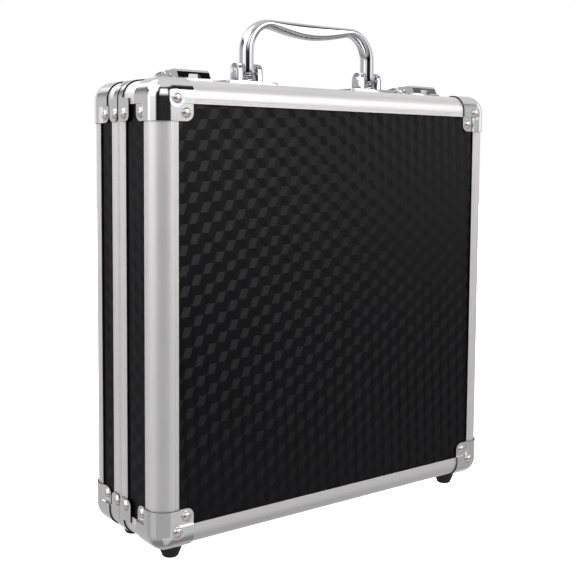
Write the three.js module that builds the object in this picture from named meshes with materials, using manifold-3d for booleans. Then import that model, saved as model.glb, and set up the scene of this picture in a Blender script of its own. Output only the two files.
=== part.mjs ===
// Ball carrying case: two framed shells, hinged below, with latches and a swing handle on top.
// Millimetres. +Z up, +X across the case, -Y towards the face of the front shell.
// z is 0 under the feet, x and y are 0 in the middle of the case.

import * as THREE from 'three';
import { RoundedBoxGeometry } from 'three/addons/geometries/RoundedBoxGeometry.js';
import { mergeVertices } from 'three/addons/utils/BufferGeometryUtils.js';
import Module from 'manifold-3d';

const wasm = await Module();
wasm.setup();

// Case body
const caseWidth = 310;
const caseHeight = 315;
const baseDepth = 52;
const lidDepth = 44;
const edgeRadius = 12.5;
const roundSegments = 3;

// General fits
const seatGap = 0.05;
const partingGap = 0.3;
const overrun = 40;
const roundSides = 12;
const fineRoundSides = 24;
const plateCornerSegments = 3;
const sheetCornerSegments = 4;

// Panels and wall boards
const boardThickness = 4;
const boardInset = 9.5;

// Aluminium profiles
const profileCover = 16.5;
const profileFlange = 1.5;
const rimWidth = 10;
const rimWeb = 1.5;
const rimInnerFlange = 1;

// Pressed corners
const cornerArm = 28;
const cornerSheet = 1;
const cornerEarRadius = 5.5;
const cornerEarRivetInset = 22.4;
const cornerFaceRivetInset = 13;

// Rivets of corners, brackets and plates
const rivetRadius = 3.2;
const rivetHeight = 1.5;
const rivetSides = 10;
const rivetRings = 2;

// Rim brackets
const bracketReach = 27.5;
const bracketStripWidth = 5.5;
const bracketEarEnd = 15.4;
const bracketEarWidth = 15.5;
const bracketEarRadius = 4;
const bracketRivetInset = 7.2;
const bracketSetback = 0.4;
const bracketTopLidSetback = 3.6;

// Feet
const footHeight = 11;
const footTopRadius = 8;
const footBottomRadius = 6;
const footEdgeRadius = 2;
const footStemRadius = 3;
const footInsetX = 22.5;
const footInsetY = 20.7;
const footSides = 20;
const footEdgeSteps = 2;

// Handle brackets
const handleToLatch = 13.5;
const handleY = -7;
const handlePlateLength = 45;
const handlePlateWidth = 20;
const handlePlateThickness = 3.8;
const handlePlateRadius = 2.5;
const handleEarThickness = 4;
const handleEarGap = 13;
const handleEarRadius = 6;
const handlePivotHeight = 11.2;
const handlePinRadius = 2;
const handlePinHead = 0.6;
const handlePinClearance = 0.3;
const handleRivetOffset = 16;

// Handle
const handleRise = 50.3;
const handleArmThickness = 9;
const handleArmWidth = 12;
const handleEyeRadius = 6;
const handleBendRadius = 20;
const handleBendThickness = 6.4;
const handleGripThickness = 9.6;
const handleGripWidth = 13;
const handleGripHollow = 1.3;
const handleArmSteps = 2;
const handleBendSteps = 5;
const handleGripSteps = 12;
const handleSectionSides = 14;
const handleSectionPower = 2.8;
const handleSectionTurn = 0.5;

// Latches: y from the middle of the case, height above the case top
const latchToBracket = 1.5;
const latchSheet = 1.2;
const latchPlateWidth = 32;
const latchPlateFront = -22;
const latchPlateRear = 3;
const latchPlateHeight = 2.4;
const latchPlateRadius = 2;
const latchEarOffset = 8.8;
const latchEarRadius = 2.1;
const leverEyeRadius = 2.6;
const leverPivotY = 0;
const leverPivotHeight = 5.2;
const leverPinRadius = 1.2;
const latchPinClearance = 0.25;
const leverWidth = 26;
const leverWaistWidth = 22.8;
const leverFront = -21;
const leverShoulder = -11;
const leverTop = 8.8;
const leverNoseRadius = 1.6;
const leverLipBottom = 2.8;
const leverFlangeBottom = 3.3;
const leverFlangeRear = 1.3;
const leverTopRear = 0;
const notchTopWidth = 7.3;
const notchBottomWidth = 10.3;
const notchTop = 5.7;
const hookPivotY = -8;
const hookPivotHeight = 4.6;
const hookPinRadius = 0.9;
const hookPinReach = 12.8;
const hookWidth = 26;
const hookFlange = 1.4;
const hookArmRadius = 1.6;
const hookArmEnd = 1.5;
const hookFront = 3;
const hookRear = 13;
const hookFrontTop = 8;
const hookBendY = 9;
const hookBendTop = 7.2;
const hookShoulderY = 11.6;
const hookShoulderTop = 6.4;
const hookLipBottom = 4.6;
const hookLipTop = 5;
const hookUndersideY = 6;
const catchWidth = 26;
const catchFront = 5;
const catchRear = 19;
const catchLipY = 9;
const catchLipWidth = 20;
const catchLipHeight = 4.3;
const plateRivetRadius = 1.2;
const plateRivetHeight = 0.7;
const latchRivetOffset = 14.6;
const latchRivetInset = 2.6;

// Hinge
const hingeEndInset = 35;
const hingeKnuckles = 8;
const hingeKnuckleGap = 0.5;
const hingeKnuckleRadius = 2.4;
const hingeKnuckleClearance = 0.25;
const hingeLeafThickness = 1.2;
const hingeLeafWidth = 9;
const hingePinRadius = 1;
const hingePinClearance = 0.25;

// Foam
const foamSideGap = 0.3;
const foamFloorThickness = 6;
const foamLidThickness = 19.5;
const cellsAcross = 4;
const cellsUp = 4;
const dividerThickness = 14;
const dividerHeight = 30;

// Places worked out from the sizes above
const caseDepth = baseDepth + lidDepth;
const caseBottom = footHeight;
const caseTop = caseBottom + caseHeight;
const caseMiddle = caseBottom + caseHeight / 2;
const frontY = -caseDepth / 2;
const rearY = caseDepth / 2;
const partingY = frontY + baseDepth;
const skinGrowth = cornerSheet + seatGap;
const boardOuter = profileFlange + seatGap;
const boardInner = boardOuter + boardThickness;
const latchOffset = caseWidth / 2 - bracketReach - latchToBracket - latchPlateWidth / 2;
const handleOffset = latchOffset - latchPlateWidth / 2 - handleToLatch - handlePlateLength / 2;
const hingeLength = caseWidth - 2 * hingeEndInset;

const finishes = {
  laminate: new THREE.MeshStandardMaterial({ color: 0x242226, roughness: 0.55, metalness: 0 }),
  profile: new THREE.MeshStandardMaterial({ color: 0xd3d1cf, roughness: 0.38, metalness: 0.9 }),
  corner: new THREE.MeshStandardMaterial({ color: 0xbfbebd, roughness: 0.3, metalness: 0.95 }),
  chrome: new THREE.MeshStandardMaterial({ color: 0xe6e6e8, roughness: 0.08, metalness: 1 }),
  rubber: new THREE.MeshStandardMaterial({ color: 0x141414, roughness: 0.8, metalness: 0 }),
  foam: new THREE.MeshStandardMaterial({ color: 0x2b2b2d, roughness: 0.95, metalness: 0 }),
};

// Solids

// A three.js geometry as a manifold solid, with its faces turned outwards.
function solidOf(geometry) {
  const bare = geometry.clone();
  bare.deleteAttribute('normal');
  bare.deleteAttribute('uv');
  const merged = mergeVertices(bare);
  const vertProperties = new Float32Array(merged.attributes.position.array);
  const triVerts = new Uint32Array(merged.index.array);
  if (signedVolume(vertProperties, triVerts) < 0) {
    flipTriangles(triVerts);
  }
  return new wasm.Manifold(new wasm.Mesh({ numProp: numbersPerPoint, vertProperties, triVerts }));
}

const numbersPerPoint = 3;
const cornersPerTriangle = 3;

function signedVolume(positions, triangles) {
  const corner = (index) => new THREE.Vector3().fromArray(positions, numbersPerPoint * triangles[index]);
  let sum = 0;
  for (let i = 0; i < triangles.length; i += cornersPerTriangle) {
    sum += corner(i).dot(corner(i + 1).cross(corner(i + 2)));
  }
  return sum;
}

function flipTriangles(triangles) {
  for (let i = 0; i < triangles.length; i += cornersPerTriangle) {
    const kept = triangles[i + 1];
    triangles[i + 1] = triangles[i + 2];
    triangles[i + 2] = kept;
  }
}

function geometryOf(solid) {
  const mesh = solid.getMesh();
  const geometry = new THREE.BufferGeometry();
  geometry.setAttribute('position', new THREE.BufferAttribute(mesh.vertProperties, numbersPerPoint));
  geometry.setIndex(new THREE.BufferAttribute(mesh.triVerts, 1));
  geometry.computeVertexNormals();
  return geometry;
}

function joined(solids) {
  return solids.reduce((sum, next) => sum.add(next));
}

function cut(solid, tools) {
  return tools.reduce((rest, tool) => rest.subtract(tool), solid);
}

// A box between two opposite corners, given in any order.
function block(a, b) {
  const size = new THREE.Vector3().subVectors(b, a);
  const centre = new THREE.Vector3().addVectors(a, b).divideScalar(2);
  const box = new THREE.BoxGeometry(Math.abs(size.x), Math.abs(size.y), Math.abs(size.z));
  return solidOf(box.translate(centre.x, centre.y, centre.z));
}

function spanBlock([x0, x1], [y0, y1], [z0, z1]) {
  return block(new THREE.Vector3(x0, y0, z0), new THREE.Vector3(x1, y1, z1));
}

// A closed outline in (y, z), drawn as x across the shape, swept from x0 to x1.
function sweptAcross(outline, x0, x1) {
  const shape = new THREE.ExtrudeGeometry(outline, { depth: x1 - x0, bevelEnabled: false });
  shape.applyMatrix4(new THREE.Matrix4().set(0, 0, 1, x0, 1, 0, 0, 0, 0, 1, 0, 0, 0, 0, 0, 1));
  return solidOf(shape);
}

// A round bar along X.
function roundAcross(radius, x0, x1, y, z, sides = roundSides) {
  const bar = new THREE.CylinderGeometry(radius, radius, x1 - x0, sides);
  bar.rotateZ(Math.PI / 2).translate((x0 + x1) / 2, y, z);
  return solidOf(bar);
}

function roundedRectangle(x0, x1, y0, y1, radius) {
  const shape = new THREE.Shape();
  shape.absarc(x1 - radius, y0 + radius, radius, -Math.PI / 2, 0);
  shape.absarc(x1 - radius, y1 - radius, radius, 0, Math.PI / 2);
  shape.absarc(x0 + radius, y1 - radius, radius, Math.PI / 2, Math.PI);
  shape.absarc(x0 + radius, y0 + radius, radius, Math.PI, -Math.PI / 2);
  shape.closePath();
  return shape;
}

// A flat plate with rounded corners that lies level, from z0 to z1.
function levelPlate([x0, x1], [y0, y1], [z0, z1], radius) {
  const settings = { depth: z1 - z0, bevelEnabled: false, curveSegments: plateCornerSegments };
  const plate = new THREE.ExtrudeGeometry(roundedRectangle(x0, x1, y0, y1, radius), settings);
  return solidOf(plate.translate(0, 0, z0));
}

// Places inside the case: distances inwards from the three outer planes of one corner

function inward(side, fromSide, fromFace, fromEnd) {
  return new THREE.Vector3(
    side.x * (caseWidth / 2 - fromSide),
    side.y * (caseDepth / 2 - fromFace),
    caseMiddle + side.z * (caseHeight / 2 - fromEnd),
  );
}

// The same with one distance along an axis and two across it, in the order x, y, z.
function inwardAlong(side, axis, along, first, second) {
  const distances = {
    x: [along, first, second],
    y: [first, along, second],
    z: [first, second, along],
  };
  return inward(side, ...distances[axis]);
}

// A box along one axis, between two places on it, across a range of inward distances.
function bar(side, axis, [low, high], [first0, first1], [second0, second1]) {
  const a = inwardAlong(side, axis, 0, first0, second0);
  const b = inwardAlong(side, axis, 0, first1, second1);
  a[axis] = low;
  b[axis] = high;
  return block(a, b);
}

// Geometry drawn as (first, second, outwards) and set on a face of one corner.
function placedOnFace(geometry, side, axis, depth) {
  const placed = geometry.clone();
  const positions = placed.attributes.position;
  for (let i = 0; i < positions.count; i += 1) {
    const outwards = positions.getZ(i);
    const place = inwardAlong(side, axis, depth - outwards, positions.getX(i), positions.getY(i));
    positions.setXYZ(i, place.x, place.y, place.z);
  }
  return solidOf(placed);
}

// A shape in inward distances on one face, as a prism from outside the case to a depth.
function facePrism(shape, side, axis, depth) {
  const settings = { depth: depth + overrun, bevelEnabled: false, curveSegments: sheetCornerSegments };
  return placedOnFace(new THREE.ExtrudeGeometry(shape, settings), side, axis, depth);
}

function domeGeometry(radius, height, root) {
  const outline = [new THREE.Vector2(0, -root), new THREE.Vector2(radius, -root)];
  for (let ring = 0; ring < rivetRings; ring += 1) {
    const angle = (ring / rivetRings) * (Math.PI / 2);
    outline.push(new THREE.Vector2(radius * Math.cos(angle), height * Math.sin(angle)));
  }
  outline.push(new THREE.Vector2(0, height));
  return new THREE.LatheGeometry(outline, rivetSides).rotateX(Math.PI / 2);
}

// A domed rivet head that stands on a sheet at a depth below the outer plane.
function faceRivet(side, axis, first, second, sheetDepth) {
  const dome = domeGeometry(rivetRadius, rivetHeight, cornerSheet / 2).translate(first, second, 0);
  return placedOnFace(dome, side, axis, sheetDepth);
}

function topRivet(x, y, z, radius, height) {
  return solidOf(domeGeometry(radius, height, height).translate(x, y, z));
}

// The case as its profiles and boards bound it

function roundBody(growth) {
  const body = new RoundedBoxGeometry(
    caseWidth + 2 * growth,
    caseDepth + 2 * growth,
    caseHeight + 2 * growth,
    roundSegments,
    edgeRadius + growth,
  );
  return solidOf(body.translate(0, 0, caseMiddle));
}

// The recesses between profiles, where the boards lie one flange below the outer plane.
function recesses(growth) {
  const edge = profileCover + growth;
  const floor = profileFlange - growth;
  const sideX = [-caseWidth / 2 + edge, caseWidth / 2 - edge];
  const sideZ = [caseBottom + edge, caseTop - edge];
  const shells = [
    [frontY + edge, partingY - rimWidth - growth],
    [partingY + rimWidth + growth, rearY - edge],
  ];
  const windows = [
    spanBlock(sideX, [frontY - overrun, frontY + floor], sideZ),
    spanBlock(sideX, [rearY - floor, rearY + overrun], sideZ),
  ];
  for (const depth of shells) {
    windows.push(spanBlock(sideX, depth, [caseTop - floor, caseTop + overrun]));
    windows.push(spanBlock(sideX, depth, [caseBottom - overrun, caseBottom + floor]));
    windows.push(spanBlock([caseWidth / 2 - floor, caseWidth / 2 + overrun], depth, sideZ));
    windows.push(spanBlock([-caseWidth / 2 - overrun, -caseWidth / 2 + floor], depth, sideZ));
  }
  return windows;
}

function steppedBody(growth) {
  return cut(roundBody(growth), recesses(growth));
}

const plainBody = roundBody(0);
const coverBody = roundBody(skinGrowth);
const coverOuter = steppedBody(skinGrowth);
const coverSheet = coverOuter.subtract(steppedBody(seatGap));

// Shells: the front one is the base, the rear one the lid

const shells = {
  base: {
    name: 'base',
    facing: -1,
    depth: baseDepth,
    face: frontY,
    rimEdge: partingY - partingGap / 2,
    rimStart: partingY - rimWidth,
  },
  lid: {
    name: 'lid',
    facing: 1,
    depth: lidDepth,
    face: rearY,
    rimEdge: partingY + partingGap / 2,
    rimStart: partingY + rimWidth,
  },
};

const endNames = { 1: 'top', '-1': 'bottom' };
const sideNames = { 1: 'right', '-1': 'left' };
const signs = [1, -1];

// A span across the case, as it is on the right or mirrored on the left.
function mirroredSpan(sign, [inner, outer]) {
  return sign > 0 ? [inner, outer] : [-outer, -inner];
}

function facePanel(shell) {
  const width = caseWidth / 2 - boardInset - seatGap;
  const inset = boardInset + seatGap;
  const y0 = shell.face - shell.facing * boardOuter;
  const y1 = shell.face - shell.facing * boardInner;
  return spanBlock([-width, width], [y0, y1], [caseBottom + inset, caseTop - inset]);
}

function wallDepth(shell) {
  const faceEnd = shell.face - shell.facing * (boardInset + seatGap);
  const rimEnd = shell.rimEdge + shell.facing * (rimWeb + seatGap);
  return [faceEnd, rimEnd];
}

function endWall(shell, end) {
  const reach = caseWidth / 2 - boardInset - seatGap;
  const outer = caseMiddle + end * (caseHeight / 2 - boardOuter);
  const inner = caseMiddle + end * (caseHeight / 2 - boardInner);
  return spanBlock([-reach, reach], wallDepth(shell), [outer, inner]);
}

function sideWall(shell, side) {
  const inset = boardInset + seatGap;
  const outer = side * (caseWidth / 2 - boardOuter);
  const inner = side * (caseWidth / 2 - boardInner);
  return spanBlock([outer, inner], wallDepth(shell), [caseBottom + inset, caseTop - inset]);
}

// A rounded angle profile with a slot for a board on each leg.
function angleProfile(side, axis, [low, high]) {
  const whole = [-overrun, profileCover];
  const beyond = profileCover + overrun;
  const span = [low - overrun, high + overrun];
  const stock = plainBody.intersect(bar(side, axis, [low, high], whole, whole));
  return cut(stock, [
    bar(side, axis, span, [profileFlange, beyond], [boardInset, beyond]),
    bar(side, axis, span, [boardInset, beyond], [profileFlange, beyond]),
  ]);
}

function faceProfileAcross(shell, end) {
  const reach = caseWidth / 2 - profileCover - seatGap;
  return angleProfile({ x: 1, y: shell.facing, z: end }, 'x', [-reach, reach]);
}

function faceProfileUp(shell, side) {
  const inset = profileCover + seatGap;
  return angleProfile({ x: side, y: shell.facing, z: 1 }, 'z', [caseBottom + inset, caseTop - inset]);
}

function depthProfile(shell, side, end) {
  const faceEnd = shell.face - shell.facing * (profileCover + seatGap);
  const rimEnd = shell.rimStart + shell.facing * seatGap;
  const span = [Math.min(faceEnd, rimEnd), Math.max(faceEnd, rimEnd)];
  return angleProfile({ x: side, y: shell.facing, z: end }, 'y', span);
}

// A channel frame that clasps the rims of the four walls.
function rimFrame(shell) {
  const everywhereX = [-caseWidth / 2 - overrun, caseWidth / 2 + overrun];
  const everywhereZ = [caseBottom - overrun, caseTop + overrun];
  const slice = spanBlock(everywhereX, [shell.rimStart, shell.rimEdge], everywhereZ);
  const slotEnd = shell.rimEdge + shell.facing * rimWeb;
  const slotDepth = [slotEnd, shell.rimStart + shell.facing * overrun];
  const slotInner = boardInner + seatGap;
  const bore = slotInner + rimInnerFlange;
  const tools = [
    spanBlock(
      [-caseWidth / 2 + bore, caseWidth / 2 - bore],
      [shell.rimStart - overrun, shell.rimEdge + overrun],
      [caseBottom + bore, caseTop - bore],
    ),
  ];
  for (const sign of signs) {
    const outerZ = caseMiddle + sign * (caseHeight / 2 - profileFlange);
    const innerZ = caseMiddle + sign * (caseHeight / 2 - slotInner);
    const outerX = sign * (caseWidth / 2 - profileFlange);
    const innerX = sign * (caseWidth / 2 - slotInner);
    const reachX = caseWidth / 2 - boardInset;
    tools.push(spanBlock([-reachX, reachX], slotDepth, [outerZ, innerZ]));
    tools.push(spanBlock([outerX, innerX], slotDepth, [caseBottom + boardInset, caseTop - boardInset]));
  }
  return cut(plainBody.intersect(slice), tools);
}

// Pressed corners and rim brackets: sheet that follows the profiles and boards

function cornerOutline() {
  const shape = new THREE.Shape();
  shape.moveTo(-overrun, -overrun);
  shape.lineTo(cornerArm, -overrun);
  const centre = cornerArm - cornerEarRadius;
  shape.absarc(centre, centre, cornerEarRadius, 0, Math.PI / 2);
  shape.lineTo(-overrun, cornerArm);
  shape.closePath();
  return shape;
}

const earDepth = profileFlange - skinGrowth;

function pressedCorner(side) {
  const prisms = ['x', 'y', 'z'].map((axis) => facePrism(cornerOutline(), side, axis, cornerArm));
  const sheet = prisms.reduce((rest, prism) => rest.intersect(prism), coverSheet);
  const inner = profileCover - seatGap;
  const outside = inward(side, -overrun, -overrun, -overrun);
  const solidCore = coverBody.intersect(block(outside, inward(side, inner, inner, inner)));
  const deep = inward(side, overrun, overrun, overrun);
  const core = cut(solidCore, [
    block(inward(side, profileFlange, boardInset, boardInset), deep),
    block(inward(side, boardInset, profileFlange, boardInset), deep),
    block(inward(side, boardInset, boardInset, profileFlange), deep),
  ]);
  const inset = cornerEarRivetInset;
  const rivets = [
    faceRivet(side, 'y', cornerFaceRivetInset, cornerFaceRivetInset, -skinGrowth),
    faceRivet(side, 'y', inset, inset, earDepth),
    faceRivet(side, 'x', inset, inset, earDepth),
  ];
  if (side.z > 0) {
    rivets.push(faceRivet(side, 'z', inset, inset, earDepth));
  }
  return joined([sheet, core, ...rivets]);
}

// A bracket round one rim corner, from its setback from the parting into the shell.
function rimBracket(shell, side, setback) {
  const rimLine = shell.depth - setback;
  const stripEnd = rimLine - bracketStripWidth;
  const earEnd = shell.depth - bracketEarEnd;
  const ear = [bracketReach - bracketEarWidth, bracketReach];
  const strip = block(
    inward(side, -overrun, rimLine, -overrun),
    inward(side, bracketReach, stripEnd, bracketReach),
  );
  const sideShape = roundedRectangle(earEnd, rimLine, ear[0], ear[1], bracketEarRadius);
  const endShape = roundedRectangle(ear[0], ear[1], earEnd, rimLine, bracketEarRadius);
  const reach = joined([
    strip,
    facePrism(sideShape, side, 'x', boardInner),
    facePrism(endShape, side, 'z', boardInner),
  ]);
  const middle = (ear[0] + ear[1]) / 2 + bracketEarRadius / 2;
  const rivetLine = shell.depth - bracketRivetInset;
  return joined([
    coverSheet.intersect(reach),
    faceRivet(side, 'x', rivetLine, middle, -skinGrowth),
    faceRivet(side, 'z', middle, rivetLine, -skinGrowth),
  ]);
}

// On the lid the short corner profile and its bracket are one riveted piece.
function bracketedProfile(shell, side, setback) {
  const earStart = bracketReach - bracketEarWidth;
  const weldEnd = shell.rimEdge + shell.facing * (bracketEarEnd - bracketEarRadius);
  const weldSpan = [shell.rimStart + shell.facing * seatGap, weldEnd];
  const shallow = [-overrun, profileFlange / 2];
  const across = [earStart, profileCover - seatGap];
  const welds = [
    coverOuter.intersect(bar(side, 'y', weldSpan, shallow, across)),
    coverOuter.intersect(bar(side, 'y', weldSpan, across, shallow)),
  ];
  return joined([rimBracket(shell, side, setback), depthProfile(shell, side.x, side.z), ...welds]);
}

// Feet

function foot(side) {
  const top = caseBottom - skinGrowth - seatGap;
  const stemTop = caseBottom + earDepth - seatGap;
  const outline = [new THREE.Vector2(0, 0), new THREE.Vector2(footBottomRadius - footEdgeRadius, 0)];
  for (let step = 1; step <= footEdgeSteps; step += 1) {
    const angle = (step / footEdgeSteps) * (Math.PI / 2);
    outline.push(
      new THREE.Vector2(
        footBottomRadius - footEdgeRadius + footEdgeRadius * Math.sin(angle),
        footEdgeRadius - footEdgeRadius * Math.cos(angle),
      ),
    );
  }
  outline.push(new THREE.Vector2(footTopRadius, top));
  outline.push(new THREE.Vector2(footStemRadius, top));
  outline.push(new THREE.Vector2(footStemRadius, stemTop));
  outline.push(new THREE.Vector2(0, stemTop));
  const place = inward(side, footInsetX, footInsetY, 0);
  const body = new THREE.LatheGeometry(outline, footSides).rotateX(Math.PI / 2);
  return solidOf(body.translate(place.x, place.y, 0));
}

// Handle brackets and handle

const pivotZ = caseTop + handlePivotHeight;

// A level plate on the rim with a pad that fills the recess of its shell.
function seatedPlate(shell, [x0, x1], [y0, y1], top, radius) {
  const plate = levelPlate([x0, x1], [y0, y1], [caseTop + seatGap, caseTop + top], radius);
  const recessed = shell.facing < 0 ? [y0, shell.rimStart - seatGap] : [shell.rimStart + seatGap, y1];
  const padFloor = caseTop - profileFlange + seatGap;
  const pad = levelPlate([x0, x1], [y0, y1], [padFloor, caseTop + top / 2], radius);
  const keep = spanBlock([x0, x1], recessed, [padFloor, caseTop + top / 2]);
  return plate.add(pad.intersect(keep));
}

// A plate with two ears and the pin between them, around x = 0.
function handleBracket() {
  const half = handlePlateLength / 2;
  const depth = [handleY - handlePlateWidth / 2, handleY + handlePlateWidth / 2];
  const top = caseTop + handlePlateThickness;
  const ear = [handleEarGap / 2, handleEarGap / 2 + handleEarThickness];
  const solids = [seatedPlate(shells.base, [-half, half], depth, handlePlateThickness, handlePlateRadius)];
  for (const sign of signs) {
    const span = mirroredSpan(sign, ear);
    const heights = [top - handlePlateThickness / 2, pivotZ];
    solids.push(roundAcross(handleEarRadius, ...span, handleY, pivotZ, fineRoundSides));
    solids.push(spanBlock(span, [handleY - handleEarRadius, handleY + handleEarRadius], heights));
    solids.push(topRivet(sign * handleRivetOffset, handleY, top, plateRivetRadius, plateRivetHeight));
  }
  const reach = ear[1] + handlePinHead;
  solids.push(roundAcross(handlePinRadius, -reach, reach, handleY, pivotZ));
  return joined(solids);
}

// Stations along the handle: place, direction, thickness and width.
function handleStations() {
  const outerArm = handleOffset + handleArmThickness / 2;
  const outerRadius = handleBendRadius + handleArmThickness / 2;
  const bendX = outerArm - outerRadius;
  const bendZ = caseTop + handleRise - outerRadius;
  const stations = [];
  const station = (x, z, angle, thickness, width) => {
    const out = new THREE.Vector3(Math.cos(angle), 0, Math.sin(angle));
    const centre = new THREE.Vector3(x, handleY, z).addScaledVector(out, -thickness / 2);
    stations.push({ centre, out, thickness, width });
  };
  for (let i = 0; i < handleArmSteps; i += 1) {
    const z = pivotZ + ((bendZ - pivotZ) * i) / handleArmSteps;
    station(outerArm, z, 0, handleArmThickness, handleArmWidth);
  }
  for (let i = 0; i <= handleBendSteps; i += 1) {
    const share = i / handleBendSteps;
    const angle = (share * Math.PI) / 2;
    const thickness = handleArmThickness + (handleBendThickness - handleArmThickness) * share;
    const x = bendX + outerRadius * Math.cos(angle);
    station(x, bendZ + outerRadius * Math.sin(angle), angle, thickness, handleArmWidth);
  }
  for (let i = 1; i < handleGripSteps; i += 1) {
    const share = i / handleGripSteps;
    const x = bendX * (1 - 2 * share);
    const belly = Math.sin(share * Math.PI);
    const thickness = handleBendThickness + (handleGripThickness - handleBendThickness) * belly;
    const width = handleArmWidth + (handleGripWidth - handleArmWidth) * belly;
    station(x, caseTop + handleRise - handleGripHollow * belly, Math.PI / 2, thickness, width);
  }
  const first = stations.slice(0, handleArmSteps + handleBendSteps + 1).reverse();
  for (const one of first) {
    const centre = one.centre.clone().setX(-one.centre.x);
    const out = one.out.clone().setX(-one.out.x);
    stations.push({ ...one, centre, out });
  }
  return stations;
}

// A closed sweep of rounded sections through a list of stations.
function loft(stations) {
  const positions = [];
  for (const { centre, out, thickness, width } of stations) {
    for (let i = 0; i < handleSectionSides; i += 1) {
      const angle = ((i + handleSectionTurn) / handleSectionSides) * Math.PI * 2;
      const squared = (value) => Math.sign(value) * Math.abs(value) ** (2 / handleSectionPower);
      const point = centre.clone().addScaledVector(out, (squared(Math.cos(angle)) * thickness) / 2);
      point.y += (squared(Math.sin(angle)) * width) / 2;
      positions.push(point.x, point.y, point.z);
    }
  }
  const triangles = [];
  const sides = handleSectionSides;
  for (let ring = 0; ring < stations.length - 1; ring += 1) {
    for (let i = 0; i < sides; i += 1) {
      const next = (i + 1) % sides;
      const a = ring * sides + i;
      const b = ring * sides + next;
      triangles.push(a, b, b + sides, a, b + sides, a + sides);
    }
  }
  const last = (stations.length - 1) * sides;
  for (let i = 1; i < sides - 1; i += 1) {
    triangles.push(0, i + 1, i, last, last + i, last + i + 1);
  }
  const geometry = new THREE.BufferGeometry();
  geometry.setAttribute('position', new THREE.Float32BufferAttribute(positions, numbersPerPoint));
  geometry.setIndex(triangles);
  return solidOf(geometry);
}

function handle() {
  const half = handleArmThickness / 2;
  const eyes = [];
  const bores = [];
  for (const sign of signs) {
    const x = sign * handleOffset;
    const bore = handlePinRadius + handlePinClearance;
    eyes.push(roundAcross(handleEyeRadius, x - half, x + half, handleY, pivotZ, fineRoundSides));
    bores.push(roundAcross(bore, x - handleArmThickness, x + handleArmThickness, handleY, pivotZ));
  }
  return cut(joined([loft(handleStations()), ...eyes]), bores);
}

// Latches, each around x = 0

const leverPivotZ = caseTop + leverPivotHeight;
const hookPivotZ = caseTop + hookPivotHeight;
const leverBore = leverWaistWidth / 2 - latchSheet;

function outlineOf(points) {
  return new THREE.Shape(points.map(([y, height]) => new THREE.Vector2(y, caseTop + height)));
}

function roundAcrossBoth(radius, ends, y, z) {
  return signs.map((sign) => roundAcross(radius, ...mirroredSpan(sign, ends), y, z));
}

function latchPlate() {
  const half = latchPlateWidth / 2;
  const waist = leverWaistWidth / 2;
  const depth = [latchPlateFront, latchPlateRear];
  const top = caseTop + latchPlateHeight;
  const ear = [latchEarOffset, latchEarOffset + latchSheet];
  const earDepthSpan = [leverPivotY - latchEarRadius, leverPivotY + latchEarRadius];
  const solids = [
    seatedPlate(shells.base, [-half, half], depth, latchPlateHeight, latchPlateRadius),
    ...roundAcrossBoth(latchEarRadius, ear, leverPivotY, leverPivotZ),
    roundAcross(leverPinRadius, -waist, waist, leverPivotY, leverPivotZ),
  ];
  for (const sign of signs) {
    solids.push(spanBlock(mirroredSpan(sign, ear), earDepthSpan, [top - latchPlateHeight / 2, leverPivotZ]));
    for (const rivetY of [latchPlateFront + latchRivetInset, leverShoulder]) {
      solids.push(topRivet(sign * latchRivetOffset, rivetY, top, plateRivetRadius, plateRivetHeight));
    }
  }
  return joined(solids);
}

// The pressed lever: a lid of sheet with a front lip, side flanges and a narrower waist.
function latchLever() {
  const half = leverWidth / 2;
  const waist = leverWaistWidth / 2;
  const nose = leverTop - leverNoseRadius / 2;
  const front = outlineOf([
    [leverFront, leverLipBottom],
    [leverFront + latchSheet, leverLipBottom],
    [leverFront + latchSheet + leverNoseRadius, leverFlangeBottom],
    [leverShoulder, leverFlangeBottom],
    [leverShoulder, leverTop],
    [leverFront + leverNoseRadius, leverTop],
    [leverFront + leverNoseRadius / 4, nose],
    [leverFront, leverTop - leverNoseRadius],
  ]);
  const back = outlineOf([
    [leverShoulder - seatGap, leverFlangeBottom],
    [leverPivotY, leverFlangeBottom],
    [leverPivotY + leverFlangeRear, leverPivotHeight],
    [leverPivotY + leverFlangeRear, leverPivotHeight + leverFlangeRear],
    [leverTopRear, leverTop],
    [leverShoulder - seatGap, leverTop],
  ]);
  const eye = roundAcross(leverEyeRadius, -waist, waist, leverPivotY, leverPivotZ);
  const blank = joined([sweptAcross(front, -half, half), sweptAcross(back, -waist, waist), eye]);
  const roof = caseTop + leverTop - latchSheet;
  const lip = leverFront + latchSheet;
  const under = [caseTop, roof];
  const inside = half - latchSheet;
  const hollow = [
    spanBlock([-inside, inside], [lip, leverShoulder - latchSheet], under),
    spanBlock([-leverBore, leverBore], [lip, overrun], under),
    roundAcross(leverPinRadius + latchPinClearance, -half, half, leverPivotY, leverPivotZ),
    fingerNotch(),
  ];
  const pinSpan = [leverBore + latchSheet / 2, hookPinReach];
  const pins = roundAcrossBoth(hookPinRadius, pinSpan, hookPivotY, hookPivotZ);
  return joined([cut(blank, hollow), ...pins]);
}

// A trapezoid opening in the lip, wide at the bottom.
function fingerNotch() {
  const bottom = caseTop;
  const top = caseTop + notchTop;
  const slope = (notchBottomWidth - notchTopWidth) / (notchTop - leverLipBottom) / 2;
  const wide = notchTopWidth / 2 + slope * notchTop;
  const shape = new THREE.Shape([
    new THREE.Vector2(-wide, bottom),
    new THREE.Vector2(wide, bottom),
    new THREE.Vector2(notchTopWidth / 2, top),
    new THREE.Vector2(-notchTopWidth / 2, top),
  ]);
  const depth = leverNoseRadius * 2;
  const prism = new THREE.ExtrudeGeometry(shape, { depth, bevelEnabled: false });
  return solidOf(prism.rotateX(Math.PI / 2).translate(0, leverFront + depth / 2, 0));
}

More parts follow.
